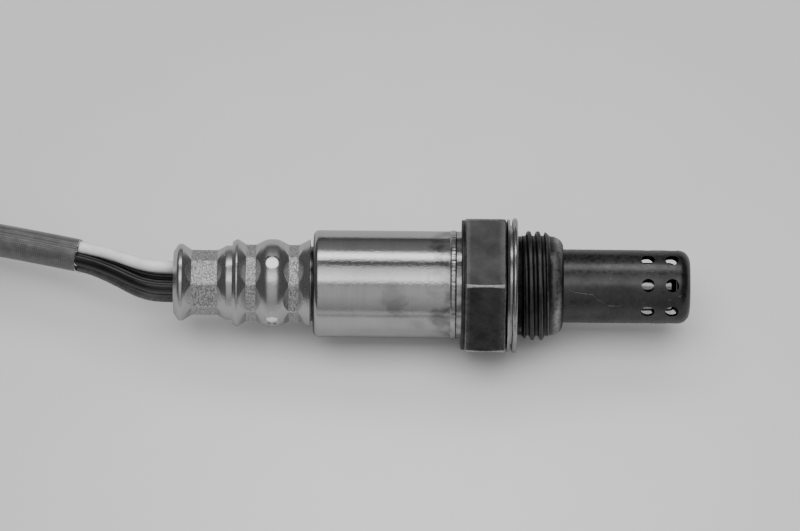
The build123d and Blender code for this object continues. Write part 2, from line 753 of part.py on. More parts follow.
# ================================================================ connector
# It lies beyond the hank, with its socket open towards -X.
connector_z = floor_z + shell_height / 2
connector_rear_x = sleeve_end[0] - tail_length + crimp_gap + seal_length + retainer_cap
back_front_x = connector_rear_x - back_length
shell_front_x = back_front_x - shell_depth
seal_rear_x = connector_rear_x - retainer_cap
seal_front_x = seal_rear_x - seal_length
web_rear_x = back_front_x + web_thickness
wire_places = {"white": (1, 1), "black_b": (-1, 1), "grey": (-1, -1), "black_a": (1, -1)}


def wire_place(name):
    side_y, side_z = wire_places[name]
    return connector_y + side_y * pin_pitch_y / 2, connector_z + side_z * pin_pitch_z / 2


def block(x_from, x_to, width, height, corner):
    """A bar along X with rounded long edges, centred on the connector's axis."""
    section = RectangleRounded(width, height, corner)
    bar = extrude(section, abs(x_to - x_from))
    return Pos(min(x_from, x_to), connector_y, connector_z) * Rot(Y=90) * Rot(Z=90) * bar


def make_connector_housing():
    shell = block(shell_front_x, back_front_x, shell_width, shell_height, shell_corner)
    back = block(back_front_x, connector_rear_x, back_width, back_height, back_corner)
    socket = block(shell_front_x - 1, back_front_x, shell_width - 2 * shell_wall,
                   shell_height - 2 * shell_wall, shell_corner - shell_wall)
    seal_room = block(web_rear_x, connector_rear_x + 1, back_width - 2 * shell_wall,
                      back_height - 2 * shell_wall, back_corner - shell_wall + 0.3)
    body = shell + back - socket - seal_room
    rib_x = (shell_front_x + back_front_x) / 2
    for side in (-1, 1):
        body += Pos(rib_x, connector_y + side * (shell_width / 2 + guide_rib / 2 - 0.1),
                    connector_z - 1) * Box(shell_depth - 2, guide_rib + 0.2, guide_rib_height)
    ramp_x = shell_front_x + ramp_inset
    ramp_z = connector_z + shell_height / 2
    wedge = make_face(Polyline((ramp_x, ramp_z - 0.2), (ramp_x + ramp_length, ramp_z - 0.2),
                               (ramp_x + ramp_length, ramp_z + ramp_height), close=True))
    body += Pos(0, connector_y, 0) * Rot(X=90) * extrude(wedge, ramp_width / 2, both=True)
    for name in wire_places:
        y, z = wire_place(name)
        body -= Pos((back_front_x + web_rear_x) / 2, y, z) * Box(
            web_thickness + 1, pin_width + 2 * pin_play, pin_thickness + 2 * pin_play)
    return body


def make_connector_pins():
    """Four flat blades, each crimped on its lead behind the web."""
    tip_x = back_front_x - pin_reach
    tail_x = web_rear_x + 0.4
    pins = []
    for name in wire_places:
        y, z = wire_place(name)
        blade = Pos((tip_x + tail_x) / 2, y, z) * Box(
            tail_x - tip_x, pin_width, pin_thickness)
        blade = chamfer(blade.edges().filter_by(Axis.Y).group_by(Axis.X)[0], 0.3)
        crimp = bore_along_x(barrel_d + 0.2, tail_x, seal_front_x - crimp_gap, y, z)
        pins.append(blade + crimp)
    return Compound(children=pins)


def make_connector_seal():
    seal = block(seal_front_x, seal_rear_x, back_width - 2 * shell_wall - 2 * seal_fit,
                 back_height - 2 * shell_wall - 2 * seal_fit, back_corner - shell_wall + 0.3)
    for name in wire_places:
        y, z = wire_place(name)
        seal -= bore_along_x(lead_d + 2 * lead_play, seal_front_x - 1, seal_rear_x + 1, y, z)
    return seal


def make_connector_retainer():
    """A clipped cap that keeps the seal in, with a hole for each lead."""
    room_width = back_width - 2 * shell_wall - 2 * seal_fit
    room_height = back_height - 2 * shell_wall - 2 * seal_fit
    cap = block(seal_rear_x, connector_rear_x, room_width, room_height,
                back_corner - shell_wall + 0.3)
    rim = block(connector_rear_x, connector_rear_x + retainer_rim, back_width, back_height,
                back_corner)
    cap += rim
    for name in wire_places:
        y, z = wire_place(name)
        cap -= bore_along_x(lead_d + 2 * retainer_hole_play, seal_rear_x - 1,
                            connector_rear_x + retainer_rim + 1, y, z)
    return cap


def tail_route(name):
    """A lead from the sleeve's far end to its pin: straight out, across, and straight in."""
    tight_y, tight_z = at_turn(bundle_pitch_d / 2, lead_turns[name])
    end_y, end_z = wire_place(name)
    end_x, middle_y, middle_z = sleeve_end
    start_y, start_z = middle_y + tight_y, middle_z + tight_z
    run = tail_length / 3
    return [
        (end_x, start_y, start_z), (end_x - run, start_y, start_z),
        (end_x - 2 * run, end_y, end_z), (end_x - tail_length, end_y, end_z),
    ]


def make_tail(name):
    return cord_rod("tail_" + name, tail_route(name), lead_d)


# ================================================================ the whole sensor
def make_all():
    pieces = {
        "housing": make_housing(),
        "gasket": make_gasket(),
        "outer_protector": make_outer_protector(),
        "inner_protector": make_inner_protector(),
        "sensing_element": make_sensing_element(),
        "heater_rod": make_heater_rod(),
        "lower_packing": make_lower_packing(),
        "talc_seal": make_talc_seal(),
        "ceramic_ring": make_ceramic_ring(),
        "crimp_ring": make_crimp_ring(),
        "outer_contact": make_outer_contact(),
        "inner_contact": make_inner_contact(),
        "heater_contact_a": make_heater_contact("black_a"),
        "heater_contact_b": make_heater_contact("black_b"),
        "terminal_insulator": make_terminal_insulator(),
        "insulator_spring": make_insulator_spring(),
        "main_cover": make_main_cover(),
        "vent_filter": make_vent_filter(),
        "filter_cover": make_filter_cover(),
        "cable_bush": make_cable_bush(),
        "sleeve": make_sleeve(),
        "sleeve_hank": make_sleeve_hank(),
        "hank_tie": make_hank_tie(),
        "connector_housing": make_connector_housing(),
        "connector_pins": make_connector_pins(),
        "connector_seal": make_connector_seal(),
        "connector_retainer": make_connector_retainer(),
    }
    for name in lead_turns:
        pieces["lead_" + name] = make_lead(name)
        pieces["tail_" + name] = make_tail(name)
    return pieces


os.makedirs("parts", exist_ok=True)
for node, piece in make_all().items():
    export_step(piece, f"parts/{node}.step")
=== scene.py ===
# %% [markdown]
# # A heated oxygen sensor
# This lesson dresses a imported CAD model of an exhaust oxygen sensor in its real
# finishes. The solids are exact but bare, so the fixed frame is loaded first and
# every new piece is placed in its coordinates: metres, the sensor's axis along X,
# its tip to +X, and X = 0 at the gasket's sealing face.

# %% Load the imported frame
from math import atan2, cos, exp, pi, radians, sin

import bmesh
import bpy
from mathutils import Matrix, Vector, noise


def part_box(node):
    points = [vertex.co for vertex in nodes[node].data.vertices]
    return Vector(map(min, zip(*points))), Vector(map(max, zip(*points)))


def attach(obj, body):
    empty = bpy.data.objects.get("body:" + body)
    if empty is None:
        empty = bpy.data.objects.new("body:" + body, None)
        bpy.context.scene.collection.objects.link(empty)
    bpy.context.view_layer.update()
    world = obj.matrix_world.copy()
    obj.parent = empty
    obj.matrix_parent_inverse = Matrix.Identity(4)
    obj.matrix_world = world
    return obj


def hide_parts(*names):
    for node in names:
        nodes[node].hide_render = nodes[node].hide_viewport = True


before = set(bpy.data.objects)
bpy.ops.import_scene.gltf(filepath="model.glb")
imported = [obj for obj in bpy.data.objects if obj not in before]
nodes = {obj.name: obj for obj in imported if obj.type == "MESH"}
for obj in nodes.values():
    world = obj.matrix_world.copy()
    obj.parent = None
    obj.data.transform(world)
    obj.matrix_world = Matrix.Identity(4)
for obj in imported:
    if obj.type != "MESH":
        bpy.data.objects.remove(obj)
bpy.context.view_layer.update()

MM = 0.001


def add(name, data):
    """A new object in the scene that shows the given mesh, curve, lamp or camera."""
    made = bpy.data.objects.new(name, data)
    bpy.context.scene.collection.objects.link(made)
    return made


def add_mesh(name, points, edges=(), faces=()):
    """A new object from bare points, edges and faces."""
    mesh = bpy.data.meshes.new(name)
    mesh.from_pydata(points, edges, faces)
    return add(name, mesh)

# %% [markdown]
# ## The stage
# The sensor lies on a plain pale floor. It is seen from above at about sixty
# degrees, so the camera looks across the axis and slightly down its near side.

# %% Camera
view_elevation = radians(60.7)
view_roll = radians(0.56)
view_distance = 1000 * MM
pixel = MM / 6.01
aim_station, aim_above_axis = -19.5 * MM, 18.8 * pixel
render_width, sensor_width = 800, 36.0
aim = Vector((aim_station, 0, 0)) + aim_above_axis * Vector(
    (0, sin(view_elevation), cos(view_elevation)))
toward_camera = Vector((0, -cos(view_elevation), sin(view_elevation)))

camera_data = bpy.data.cameras.new("camera")
camera_data.sensor_width = sensor_width
camera_data.lens = sensor_width * view_distance / (render_width * pixel)
camera = add("camera", camera_data)
camera.matrix_world = (Matrix.Translation(aim + toward_camera * view_distance)
                       @ Matrix.Rotation(pi / 2 - view_elevation, 4, "X")
                       @ Matrix.Rotation(view_roll, 4, "Z"))
bpy.context.scene.camera = camera
print("lens", round(camera_data.lens, 1), "mm")

# %% [markdown]
# A finish is a small graph of shader nodes. The graph is easier to read when each
# node is made, set and wired in one call, so a few short helpers come first.

# %% Helpers for finishes
class Wiring:
    """A tree of nodes, written from left to right: each is made and wired in one call."""

    def __init__(self, tree):
        self.tree = tree

    def node(self, kind, output=0, settings=None, **inputs):
        """Inputs go by name, or by place as i0 and i1; None leaves one as it is."""
        made = self.tree.nodes.new(kind if "Node" in kind else "ShaderNode" + kind)
        for key, value in (settings or {}).items():
            setattr(made, key, value)
        for key, value in inputs.items():
            by_place = key[0] == "i" and key[1:].isdigit()
            socket = made.inputs[int(key[1:]) if by_place else key.replace("_", " ")]
            if isinstance(value, bpy.types.NodeSocket):
                self.tree.links.new(value, socket)
            elif value is not None:
                if hasattr(socket.default_value, "__len__") and not hasattr(value, "__len__"):
                    value = ([value] * 3 + [1.0])[:len(socket.default_value)]
                socket.default_value = value
        return made.outputs[output]

    def sum(self, first, second=0.0, operation="ADD", third=0.0):
        """The values through one operation, which is a sum if no other is named."""
        return self.node("Math", settings={"operation": operation},
                         i0=first, i1=second, i2=third)

    def times(self, first, second):
        return self.sum(first, second, "MULTIPLY")

    def ramp(self, value, low, high, to_low=0.0, to_high=1.0):
        return self.node("MapRange", i0=value, i1=low, i2=high, i3=to_low, i4=to_high)

    def mix(self, share, first, second):
        return self.node("Mix", output=2, settings={"data_type": "RGBA"},
                         i0=share, i6=first, i7=second)

    def split(self, vector):
        """The x, y and z of a vector."""
        return self.node("SeparateXYZ", i0=vector).node.outputs

    def off_axis(self, y, z):
        """The distance from the sensor's axis."""
        return self.sum(self.sum(self.times(y, y), self.times(z, z)), 0.5, "POWER")


class Graph(Wiring):
    """A material and its nodes."""

    def __init__(self, name):
        self.material = bpy.data.materials.new(name)
        self.material.use_nodes = True
        super().__init__(self.material.node_tree)
        self.tree.nodes.clear()
        self.output = self.tree.nodes.new("ShaderNodeOutputMaterial")
        self.place = self.node("TexCoord", output="Object")

    def axis(self, letter):
        return self.split(self.place)[letter]

    def distance(self, spot):
        return self.node("VectorMath", output=1, settings={"operation": "DISTANCE"},
                         i0=self.place, i1=spot)

    def band(self, along, low, high, edge=0.12 * MM):
        """One inside the stretch from low to high, zero outside it."""
        rise = self.ramp(along, low - edge, low + edge)
        return self.times(rise, self.ramp(along, high - edge, high + edge, 1.0, 0.0))

    def noise(self, scale, detail=3.0, roughness=0.5, stretch=(1, 1, 1)):
        moved = self.node("Mapping", Vector=self.place, Scale=stretch)
        return self.node("TexNoise", Vector=moved, Scale=scale, Detail=detail,
                         Roughness=roughness)

    def bump(self, height, distance, strength=1.0, onto=None):
        return self.node("Bump", Height=height, Distance=distance, Strength=strength,
                         Normal=onto)

    def finish(self, color, roughness, metallic=0.0, normal=None, **fixed):
        shader = self.node("BsdfPrincipled", Base_Color=color, Roughness=roughness,
                           Metallic=metallic, Normal=normal, **fixed)
        self.tree.links.new(shader, self.output.inputs["Surface"])
        return self.material


def grey(level):
    """A neutral grey, from the brightness that the eye reads on a screen (0 to 255)."""
    share = level / 255
    return ((share + 0.055) / 1.055) ** 2.4 if share > 0.04045 else share / 12.92


print("mid grey", round(grey(128), 3))

# %% Floor
floor_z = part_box("gasket")[0].z
floor_paint = Graph("floor_paint")
mottle = floor_paint.ramp(floor_paint.noise(60, 2), 0.3, 0.7, 0.99, 1.01)
# Painted light: the floor is painted brighter round a spot in front of the sensor and duller
# further out, as a pool of light.
brightest = (-15 * MM, -30 * MM, floor_z)
bright_within, dull_beyond = 15 * MM, 95 * MM
painted_light_pool = floor_paint.ramp(floor_paint.distance(brightest), bright_within, dull_beyond,
                           grey(204), grey(178))
# Painted reflection: for glossy rays the floor is darker, with a dark strip near the front, so
# metal mirrors a darker floor than the one that is seen.
mirrored_level, strip_level = 0.30, 0.10
seen_floor = floor_paint.times(painted_light_pool, mottle)
strip_near, strip_far, strip_edge = -98 * MM, -66 * MM, 6 * MM
painted_reflection_strip = floor_paint.band(floor_paint.axis("Y"), strip_near, strip_far, strip_edge)
mirrored_floor = floor_paint.mix(painted_reflection_strip, mirrored_level, strip_level)
glossy_look = floor_paint.node("LightPath", output="Is Glossy Ray")
floor_paint.finish(floor_paint.mix(glossy_look, seen_floor, mirrored_floor), 0.9,
                   Specular_IOR_Level=0.2)
reach = 3.0
floor = add_mesh("floor", [(-reach, -reach, floor_z), (reach, -reach, floor_z),
                           (reach, reach, floor_z), (-reach, reach, floor_z)],
                 faces=[(0, 1, 2, 3)])
floor.data.materials.append(floor_paint.material)
print("floor at z", round(floor_z / MM, 2), "mm")

# %% [markdown]
# ## Light
# Bright metal shows its surroundings more than its own colour. A wide soft box hangs
# overhead and a little in front, and a narrow one behind: they light the matte
# surfaces and throw a soft shadow forward, together with an even dome. A plain box
# would mirror in the covers with hard edges. So the boxes don't show in polished
# metal, and the room has their bands painted on it instead, from the front horizon
# over the top to the back, each with an edge that fades. To the left and right it is
# dark, so that sloping shoulders fall off. The floor too has a darker level for
# glossy rays than the one that is seen.

# %% Lamps
def soft_box(name, elevation, distance, width, height, radiance):
    """A rectangular lamp that faces the sensor; past 90 degrees it leans to the front."""
    lift = radians(elevation)
    spot = Vector((0, cos(lift), sin(lift))) * distance
    lamp_data = bpy.data.lights.new(name, "AREA")
    lamp_data.shape = "RECTANGLE"
    lamp_data.size = width
    lamp_data.size_y = height
    lamp_data.energy = radiance * pi * width * height
    lamp = add(name, lamp_data)
    lamp.location = spot + Vector((lamp_station, 0, 0))
    lamp.rotation_euler = spot.to_track_quat("Z", "Y").to_euler()
    lamp.visible_glossy = False
    print(name, round(lamp_data.energy, 1), "watts")


lamp_station = -20 * MM
soft_box("top_box", elevation=96, distance=1.3, width=1.5, height=0.78, radiance=4.8)
soft_box("back_box", elevation=55, distance=1.2, width=1.4, height=0.36, radiance=3.6)

# %% The room
# Each stop is an angle from the front horizon, in degrees, and a level.
dome_level, side_level = 0.74, 0.08
dark_beside = (0.24, 0.48)
front_wall = [(0, 0.25), (37, 0.5), (57, 0.5)]
overhead_band = [(60, 0.2), (64, 0.9), (70, 1.85), (97, 0.75)]
dark_gap = [(102, 0.12), (112, 0.12)]
bright_band = [(120, 2.7), (128, 2.7)]
back_wall = [(136, 0.25), (162, 0.17), (180, 0.05)]
room_bands = front_wall + overhead_band + dark_gap + bright_band + back_wall
world = bpy.data.worlds.new("room")
bpy.context.scene.world = world
world.use_nodes = True
room = Wiring(world.node_tree)
rightward, backward, upward = room.split(room.node("TexCoord"))
turn_up = room.sum(upward, room.times(backward, -1.0), "ARCTAN2")
band_ramp = room.node("ValToRGB", i0=room.sum(turn_up, pi, "DIVIDE"))
stops = band_ramp.node.color_ramp.elements
stops[0].color = (*[room_bands[0][1]] * 3, 1)
stops[1].color = (*[room_bands[-1][1]] * 3, 1)
for lift, level in room_bands[1:-1]:
    stops.new(lift / 180).color = (*[level] * 3, 1)
in_middle = room.ramp(room.sum(rightward, 0.0, "ABSOLUTE"), *dark_beside, 1.0, 0.0)
mirrored = room.mix(in_middle, side_level, band_ramp)
glossy_ray = room.node("LightPath", output="Is Glossy Ray")
seen = room.mix(glossy_ray, dome_level, mirrored)
room.tree.links.new(seen, room.tree.nodes["Background"].inputs["Color"])
print("room bands, in degrees from the front horizon:", room_bands)

# %% [markdown]
# ## Leads and sleeve
# Four insulated leads leave the bush, close up, and run into a woven sleeve. Each
# is a smooth spline through a few control points, with the real thickness as its
# bevel. A spline of order three starts exactly at its first point and never
# swings outside its corners, which is how a limp wire bends.

# %% Cord helper
def spline_cord(name, points, diameter, sides=16):
    """A free cord on a smooth spline through control points given in millimetres."""
    line = bpy.data.curves.new(name, "CURVE")
    line.dimensions = "3D"
    run = line.splines.new("NURBS")
    run.points.add(len(points) - 1)
    for spot, point in zip(points, run.points):
        point.co = (*(value * MM for value in spot), 1)
    run.order_u = 3
    run.use_endpoint_u = True
    run.resolution_u = 8
    line.bevel_depth = diameter * MM / 2
    line.bevel_resolution = sides // 4
    line.use_fill_caps = True
    return add(name, line)


def spline_points(cord, steps=24):
    """Points along a cord's own line, in metres: its curve evaluated with no bevel."""
    bare = cord.data.copy()
    bare.bevel_depth = 0
    bare.resolution_u = bare.splines[0].resolution_u = steps
    probe = add("probe", bare)
    mesh = bpy.data.meshes.new_from_object(
        probe.evaluated_get(bpy.context.evaluated_depsgraph_get()))
    line = [vertex.co.copy() for vertex in mesh.vertices]
    bpy.data.objects.remove(probe)
    return line


def line_length(line):
    """The length of a line that is given by close points."""
    return sum((b - a).length for a, b in zip(line, line[1:]))


# %% The leads' route
tail_end_x = -57.1
lead_d = 2.0
lead_pitch_d = 5.16
bundle_pitch_d = 3.0
lead_turns = {"white": 48.7, "black_b": 138.7, "grey": 228.7, "black_a": 318.7}
sleeve_points = [
    (-73.0, 5.2, -0.6), (-91.0, 9.9, -1.95), (-109.0, 14.2, -5.9),
    (-127.0, 16.5, -8.03), (-143.0, 16.5, -8.03),
]
lead_free_points = [(-62.1, 0.25, 0.05), (-67.7, 3.2, -0.15)]
lead_in_sleeve = 14.5
bush_grip = 5.0


def at_turn(radius, turn):
    """The y and z of a spot at a radius and a turn round the axis, in degrees."""
    return radius * cos(radians(turn)), radius * sin(radians(turn))


def lead_route(turn):
    """Control points from inside the bush into the sleeve's mouth."""
    mouth, corner = Vector(sleeve_points[0]), Vector(sleeve_points[1])
    inside = mouth + (corner - mouth).normalized() * lead_in_sleeve
    wide_y, wide_z = at_turn(lead_pitch_d / 2, turn)
    mid_y, mid_z = at_turn((lead_pitch_d + bundle_pitch_d) / 4, turn)
    tight_y, tight_z = at_turn(bundle_pitch_d / 2, turn)
    first, second = lead_free_points
    return [
        (tail_end_x + bush_grip, wide_y, wide_z), (tail_end_x, wide_y, wide_z),
        (first[0], first[1] + wide_y, first[2] + wide_z),
        (second[0], second[1] + mid_y, second[2] + mid_z),
        (mouth.x, mouth.y + tight_y, mouth.z + tight_z),
        (inside.x, inside.y + tight_y, inside.z + tight_z),
    ]


leads = {}
for color, turn in lead_turns.items():
    leads[color] = spline_cord("lead_" + color + "_wire", lead_route(turn), lead_d)
    print("lead", color, round(line_length(spline_points(leads[color])) / MM, 1), "mm")

# %% The sleeve's route
sleeve_d = 5.5
hank_z = sleeve_points[-1][2]
hank_y = sleeve_points[-1][1]
hank_right_x, hank_left_x, hank_fold_r = -119.0, -175.0, 18.2
hank_mid_y = hank_y - hank_fold_r
fold_corners = 6
hank_stack = 5.7


def fold_route(centre_x, from_turn, heights):
    """Control points round one fold of the hank, half a turn from from_turn."""
    step = 180 / fold_corners
    reach = hank_fold_r / cos(radians(step / 2))
    turns = [radians(from_turn + step * (i + 0.5)) for i in range(fold_corners)]
    return [(centre_x + reach * cos(turn), hank_mid_y + reach * sin(turn), hank_z + height)
            for turn, height in zip(turns, heights)]


hank_rise = [0.2, 1.2, 3.4, 6.0, 8.6, 8.6]
hank_out = [(-187.0, 0.0, hank_stack), (-197.0, -1.6, 4.0), (-206.5, -4.5, 0.0),
            (-217.0, -4.5, 0.0)]
sleeve_route = [
    *sleeve_points, *fold_route(hank_left_x, 90, [0] * fold_corners),
    *fold_route(hank_right_x, -90, hank_rise),
    (-127.0, hank_y, hank_z + 7.0), (-141.0, hank_y, hank_z + hank_stack),
    *[(x, hank_y + side, hank_z + height) for x, side, height in hank_out],
]
sleeve_cord = spline_cord("sleeve_woven", sleeve_route, sleeve_d, sides=32)
sleeve_line = spline_points(sleeve_cord)
sleeve_length = line_length(sleeve_line)
print("sleeve", round(sleeve_length / MM, 1), "mm")

# %% The tails between the sleeve's far end and the connector
tail_length = 33.0
wire_places = {"white": (1, 1), "black_b": (-1, 1), "grey": (-1, -1), "black_a": (1, -1)}
connector_y, connector_z = 6.0, -3.7
pin_pitch_y, pin_pitch_z = 4.6, 4.2


def tail_route(color):
    """Control points from the sleeve's far end to the wire's place in the connector."""
    tight_y, tight_z = at_turn(bundle_pitch_d / 2, lead_turns[color])
    side_y, side_z = wire_places[color]
    end_y = connector_y + side_y * pin_pitch_y / 2
    end_z = connector_z + side_z * pin_pitch_z / 2
    run = tail_length / 3
    end_of_sleeve, middle_y, middle_z = sleeve_route[-1]
    start = (middle_y + tight_y, middle_z + tight_z)
    return [
        (end_of_sleeve, *start), (end_of_sleeve - run, *start),
        (end_of_sleeve - 2 * run, end_y, end_z), (end_of_sleeve - tail_length, end_y, end_z),
    ]


tails = {}
for color in lead_turns:
    tails[color] = spline_cord("tail_" + color + "_wire", tail_route(color), lead_d)
    print("tail", color, round(line_length(spline_points(tails[color])) / MM, 1), "mm")

# %% [markdown]
# ## Drawn stainless steel
# The main cover and the vent cover are deep-drawn from bright sheet. Drawing leaves
# fine lines that run round the cylinder, handling leaves faint smudges, and the
# weld at the body's end has tinted the last few millimetres. The crimping jaws have
# pressed a rough, sparkling grain into the flats. The crimped tail is rougher than the
# wide part. The neck between the two covers is clean steel, but it is painted nearly
# black: painted shade for the shadow in that narrow gap. All of that
# is one graph: the station along X says where each of them begins.

# %% Stations of the crimps and the weld
cover_low, cover_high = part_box("main_cover")
vent_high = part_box("filter_cover")[1]
tail_flats, vent_flats, crimp_spacing = (3.0, 7.3), (3.5, 1.9), 7.1
weld_setback, shoulder_gap = 1.35, 0.5
tail_crimp = tuple(cover_low.x + station * MM for station in tail_flats)
crimp_front = tuple(vent_high.x - station * MM for station in vent_flats)
crimp_rear = tuple(station - crimp_spacing * MM for station in crimp_front)
weld_x = cover_high.x - weld_setback * MM
shoulder_x = vent_high.x + shoulder_gap * MM
print("weld at", round(weld_x / MM, 2), "crimps at",
      [round(sum(c) / 2 / MM, 1) for c in (tail_crimp, crimp_rear, crimp_front)])


# %% Drawn steel
tail_level, neck_shade_level, tint_level, stain_level = 0.62, 0.05, 0.16, 0.20
tail_roughness, jaw_roughness = 0.14, 0.06


def drawn_steel(name, crimps, tinted):
    """Bright drawn sheet; behind the main cover's shoulder it is rougher."""
    steel = Graph(name)
    along = steel.axis("X")
    duller = steel.ramp(along, shoulder_x - 0.5 * MM, shoulder_x + 0.5 * MM, 1.0, 0.0)
    draw_lines = steel.noise(2600, 2, stretch=(1, 0.05, 0.05))
    orange_peel = steel.noise(2800, 3, 0.6)
    smudges = steel.noise(160, 4, 0.6)
    pressed = 0.0
    for low, high in crimps:
        pressed = steel.sum(pressed, steel.band(along, low, high))
    level = steel.times(steel.ramp(smudges, 0.3, 0.7, 0.54, 0.62),
                        steel.ramp(draw_lines, 0.3, 0.7, 0.98, 1.02))
    roughness = steel.sum(steel.ramp(draw_lines, 0.3, 0.7, 0.08, 0.11),
                          steel.sum(steel.ramp(smudges, 0.45, 0.75, 0.0, 0.07),
                                    steel.times(duller, tail_roughness)))
    level = steel.mix(duller, level, tail_level)
    # Painted shade: the narrow neck between the two covers is painted nearly black for the
    # shadow in it.
    neck_painted_shade = steel.band(along, vent_high.x + 0.1 * MM, shoulder_x + 0.3 * MM)
    level = steel.mix(neck_painted_shade, level, neck_shade_level)
    if tinted:
        drift = steel.ramp(steel.noise(300, 3), 0.3, 0.7, -2.2 * MM, 2.2 * MM)
        tint = steel.ramp(steel.sum(along, drift), weld_x - 3.4 * MM, weld_x - 0.2 * MM)
        streaks = steel.ramp(steel.noise(520, 3, stretch=(0.6, 1, 1)), 0.35, 0.65, 0.1, 0.9)
        level = steel.mix(steel.times(tint, streaks), level, tint_level)
        for spot, size, strength in stains:
            edge = steel.ramp(steel.noise(420, 4, 0.6), 0.3, 0.7, -size / 2, size / 2)
            ragged = steel.sum(steel.distance(spot), edge)
            level = steel.mix(steel.ramp(ragged, size, size * 0.4, 0.0, strength), level,
                              stain_level)
    fine = steel.bump(draw_lines, 0.006 * MM, 0.5, steel.bump(orange_peel, 0.022 * MM))
    roughness = steel.sum(roughness, steel.times(pressed, jaw_roughness))
    jaw_grain = steel.node("TexVoronoi", Vector=steel.place, Scale=3900)
    sparkle = steel.ramp(jaw_grain, 0.15, 0.65, 1.6, 0.6)
    level = steel.times(level, steel.mix(pressed, 1.0, sparkle))
    fine = steel.bump(steel.times(jaw_grain, pressed), 0.045 * MM, onto=fine)
    return steel.finish(level, roughness, 1.0, fine)


def on_cover(station, turn):
    """A spot on the main cover's surface, in metres."""
    return (station * MM, *at_turn((cover_high.y - cover_low.y) / 2, turn))


stains = [(on_cover(-20.6, 134), 3.2 * MM, 0.30), (on_cover(-19.8, 147), 2.4 * MM, 0.25),
          (on_cover(-12.6, 158), 2.2 * MM, 0.65), (on_cover(-16.6, 166), 1.8 * MM, 0.25)]
cover_steel = drawn_steel("cover_steel", [tail_crimp], tinted=True)
vent_steel = drawn_steel("vent_steel", [crimp_rear, crimp_front], tinted=False)


def dress(node, material):
    """Gives a CAD node its finish; its shape is left alone."""
    mesh = nodes[node].data
    mesh.materials.clear()
    mesh.materials.append(material)


dress("main_cover", cover_steel)
dress("filter_cover", vent_steel)
print("dressed the two covers")

# %% [markdown]
# ## The screwed body
# The body is one turned and forged piece: a hexagon with rolled corners, a collar
# behind it, and a threaded nose rolled over the protector's flange. It can be drawn
# as rings about the axis, each with its own radius at every turn. The rings are
# dense where an edge is rounded, so that the edge catches light as a real one does.

# %% Rings about the axis
def ring_shell(name, rows, turns):
    """A closed shell of rings. A row is a station and a radius, or radii, in mm."""
    points = []
    for station, radius in rows:
        radii = radius if isinstance(radius, list) else [radius] * len(turns)
        points += [(station * MM, r * MM * cos(t), r * MM * sin(t))
                   for r, t in zip(radii, turns)]
    count, wide = len(rows), len(turns)
    faces = [(i * wide + j, i * wide + (j + 1) % wide,
              (i + 1) % count * wide + (j + 1) % wide, (i + 1) % count * wide + j)
             for i in range(count) for j in range(wide)]
    shell = add_mesh(name, points, faces=faces)
    shape = bmesh.new()
    shape.from_mesh(shell.data)
    bmesh.ops.recalc_face_normals(shape, faces=shape.faces)
    shape.to_mesh(shell.data)
    shape.free()
    shell.data.shade_smooth()
    return shell


def spread(low, high, count):
    """Evenly spaced values from low to high, in so many steps."""
    return [low + (high - low) * i / count for i in range(count + 1)]


def rounded(x_from, r_from, x_to, r_to):
    """Stations and radii of a quarter round between two edges, in four steps."""
    return [(x_from + (x_to - x_from) * (1 - cos(a)), r_from + (r_to - r_from) * sin(a))
            for a in spread(0, pi / 2, 4)]


print("a quarter round:", [(round(x, 2), round(r, 2)) for x, r in rounded(0, 1, 1, 2)])


# %% The hexagon's rows
hex_front, hex_height, collar_height = -2.0, 6.65, 0.65
hex_rear = hex_front - hex_height
collar_rear = hex_rear - collar_height
flat_r, crown_r, crown_drop = 11.0, 12.6, 0.1
edge_r, soft_edge = 0.22, 0.06
near_corner, across_flat = spread(-30, -24, 15), spread(-23.6, 23.6, 14)
sector = near_corner + across_flat + [-offset for offset in near_corner]
sector = sorted(set(round(offset, 3) for offset in sector))[:-1]
turns = [radians(60 * side + 30 + offset) for side in range(6) for offset in sector]


def flat_at(turn):
    """The radius of the nearest flat at a turn round the axis."""
    return flat_r / cos(turn % radians(60) - radians(30))


def crown_at(station):
    """The crown's radius so far from the hexagon's rear: it bulges a little."""
    return crown_r - crown_drop * (2 * station / hex_height - 1) ** 2


def hexagon_radius(turn, crown):
    """The flats, cut by the crown at the corners, with the edge between them softened."""
    flat = flat_at(turn)
    gap = max(soft_edge - abs(flat - crown), 0) / soft_edge
    return min(flat, crown) - gap * gap * soft_edge / 4


end_rows = rounded(0, edge_r, edge_r, 0)
body_stations = end_rows + [(0.9 + 0.9 * i, 0.0) for i in range(6)]
body_stations += [(hex_height - s, drop) for s, drop in reversed(end_rows)]
hexagon_rows = [(hex_rear + station,
                 [hexagon_radius(turn, crown_at(station)) - drop for turn in turns])
                for station, drop in body_stations]
print("hexagon", len(hexagon_rows), "rows of", len(turns), "points")

# %% [markdown]
# The thread follows a rule, so Geometry Nodes cut it. The rings below first give the
# thread's outer envelope, with its run-in and the lower last turn. The node tree
# then pulls each point in to the helix: how far along its turn a point lies comes
# from its station divided by the pitch, less its angle as a share of a circle.

# %% The body's rows
thread_from, thread_to = 0.7, 5.35
envelope = [(0.7, 8.2), (1.5, 9.05), (4.2, 9.05), (4.75, 8.85), (5.35, 8.25)]


def envelope_radius(station):
    """The radius of the thread's outer envelope at a station."""
    for (x0, r0), (x1, r1) in zip(envelope, envelope[1:]):
        if station <= x1:
            return r0 + (r1 - r0) * (station - x0) / (x1 - x0)
    return envelope[-1][1]


thread_rows = [(x, envelope_radius(x)) for x in spread(thread_from, thread_to, 84)]
nose_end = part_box("housing")[1].x / MM
nose_lip_r, protector_r = 6.49, 6.12
flange_front = nose_end - 1.2
flange_rear = flange_front - 0.9
nose_rows = [(thread_to + (nose_end - thread_to) * sin(radians(a)),
              nose_lip_r + (envelope[-1][1] - nose_lip_r) * cos(radians(a)))
             for a in (12, 24, 36, 48, 60, 70, 80, 90)]
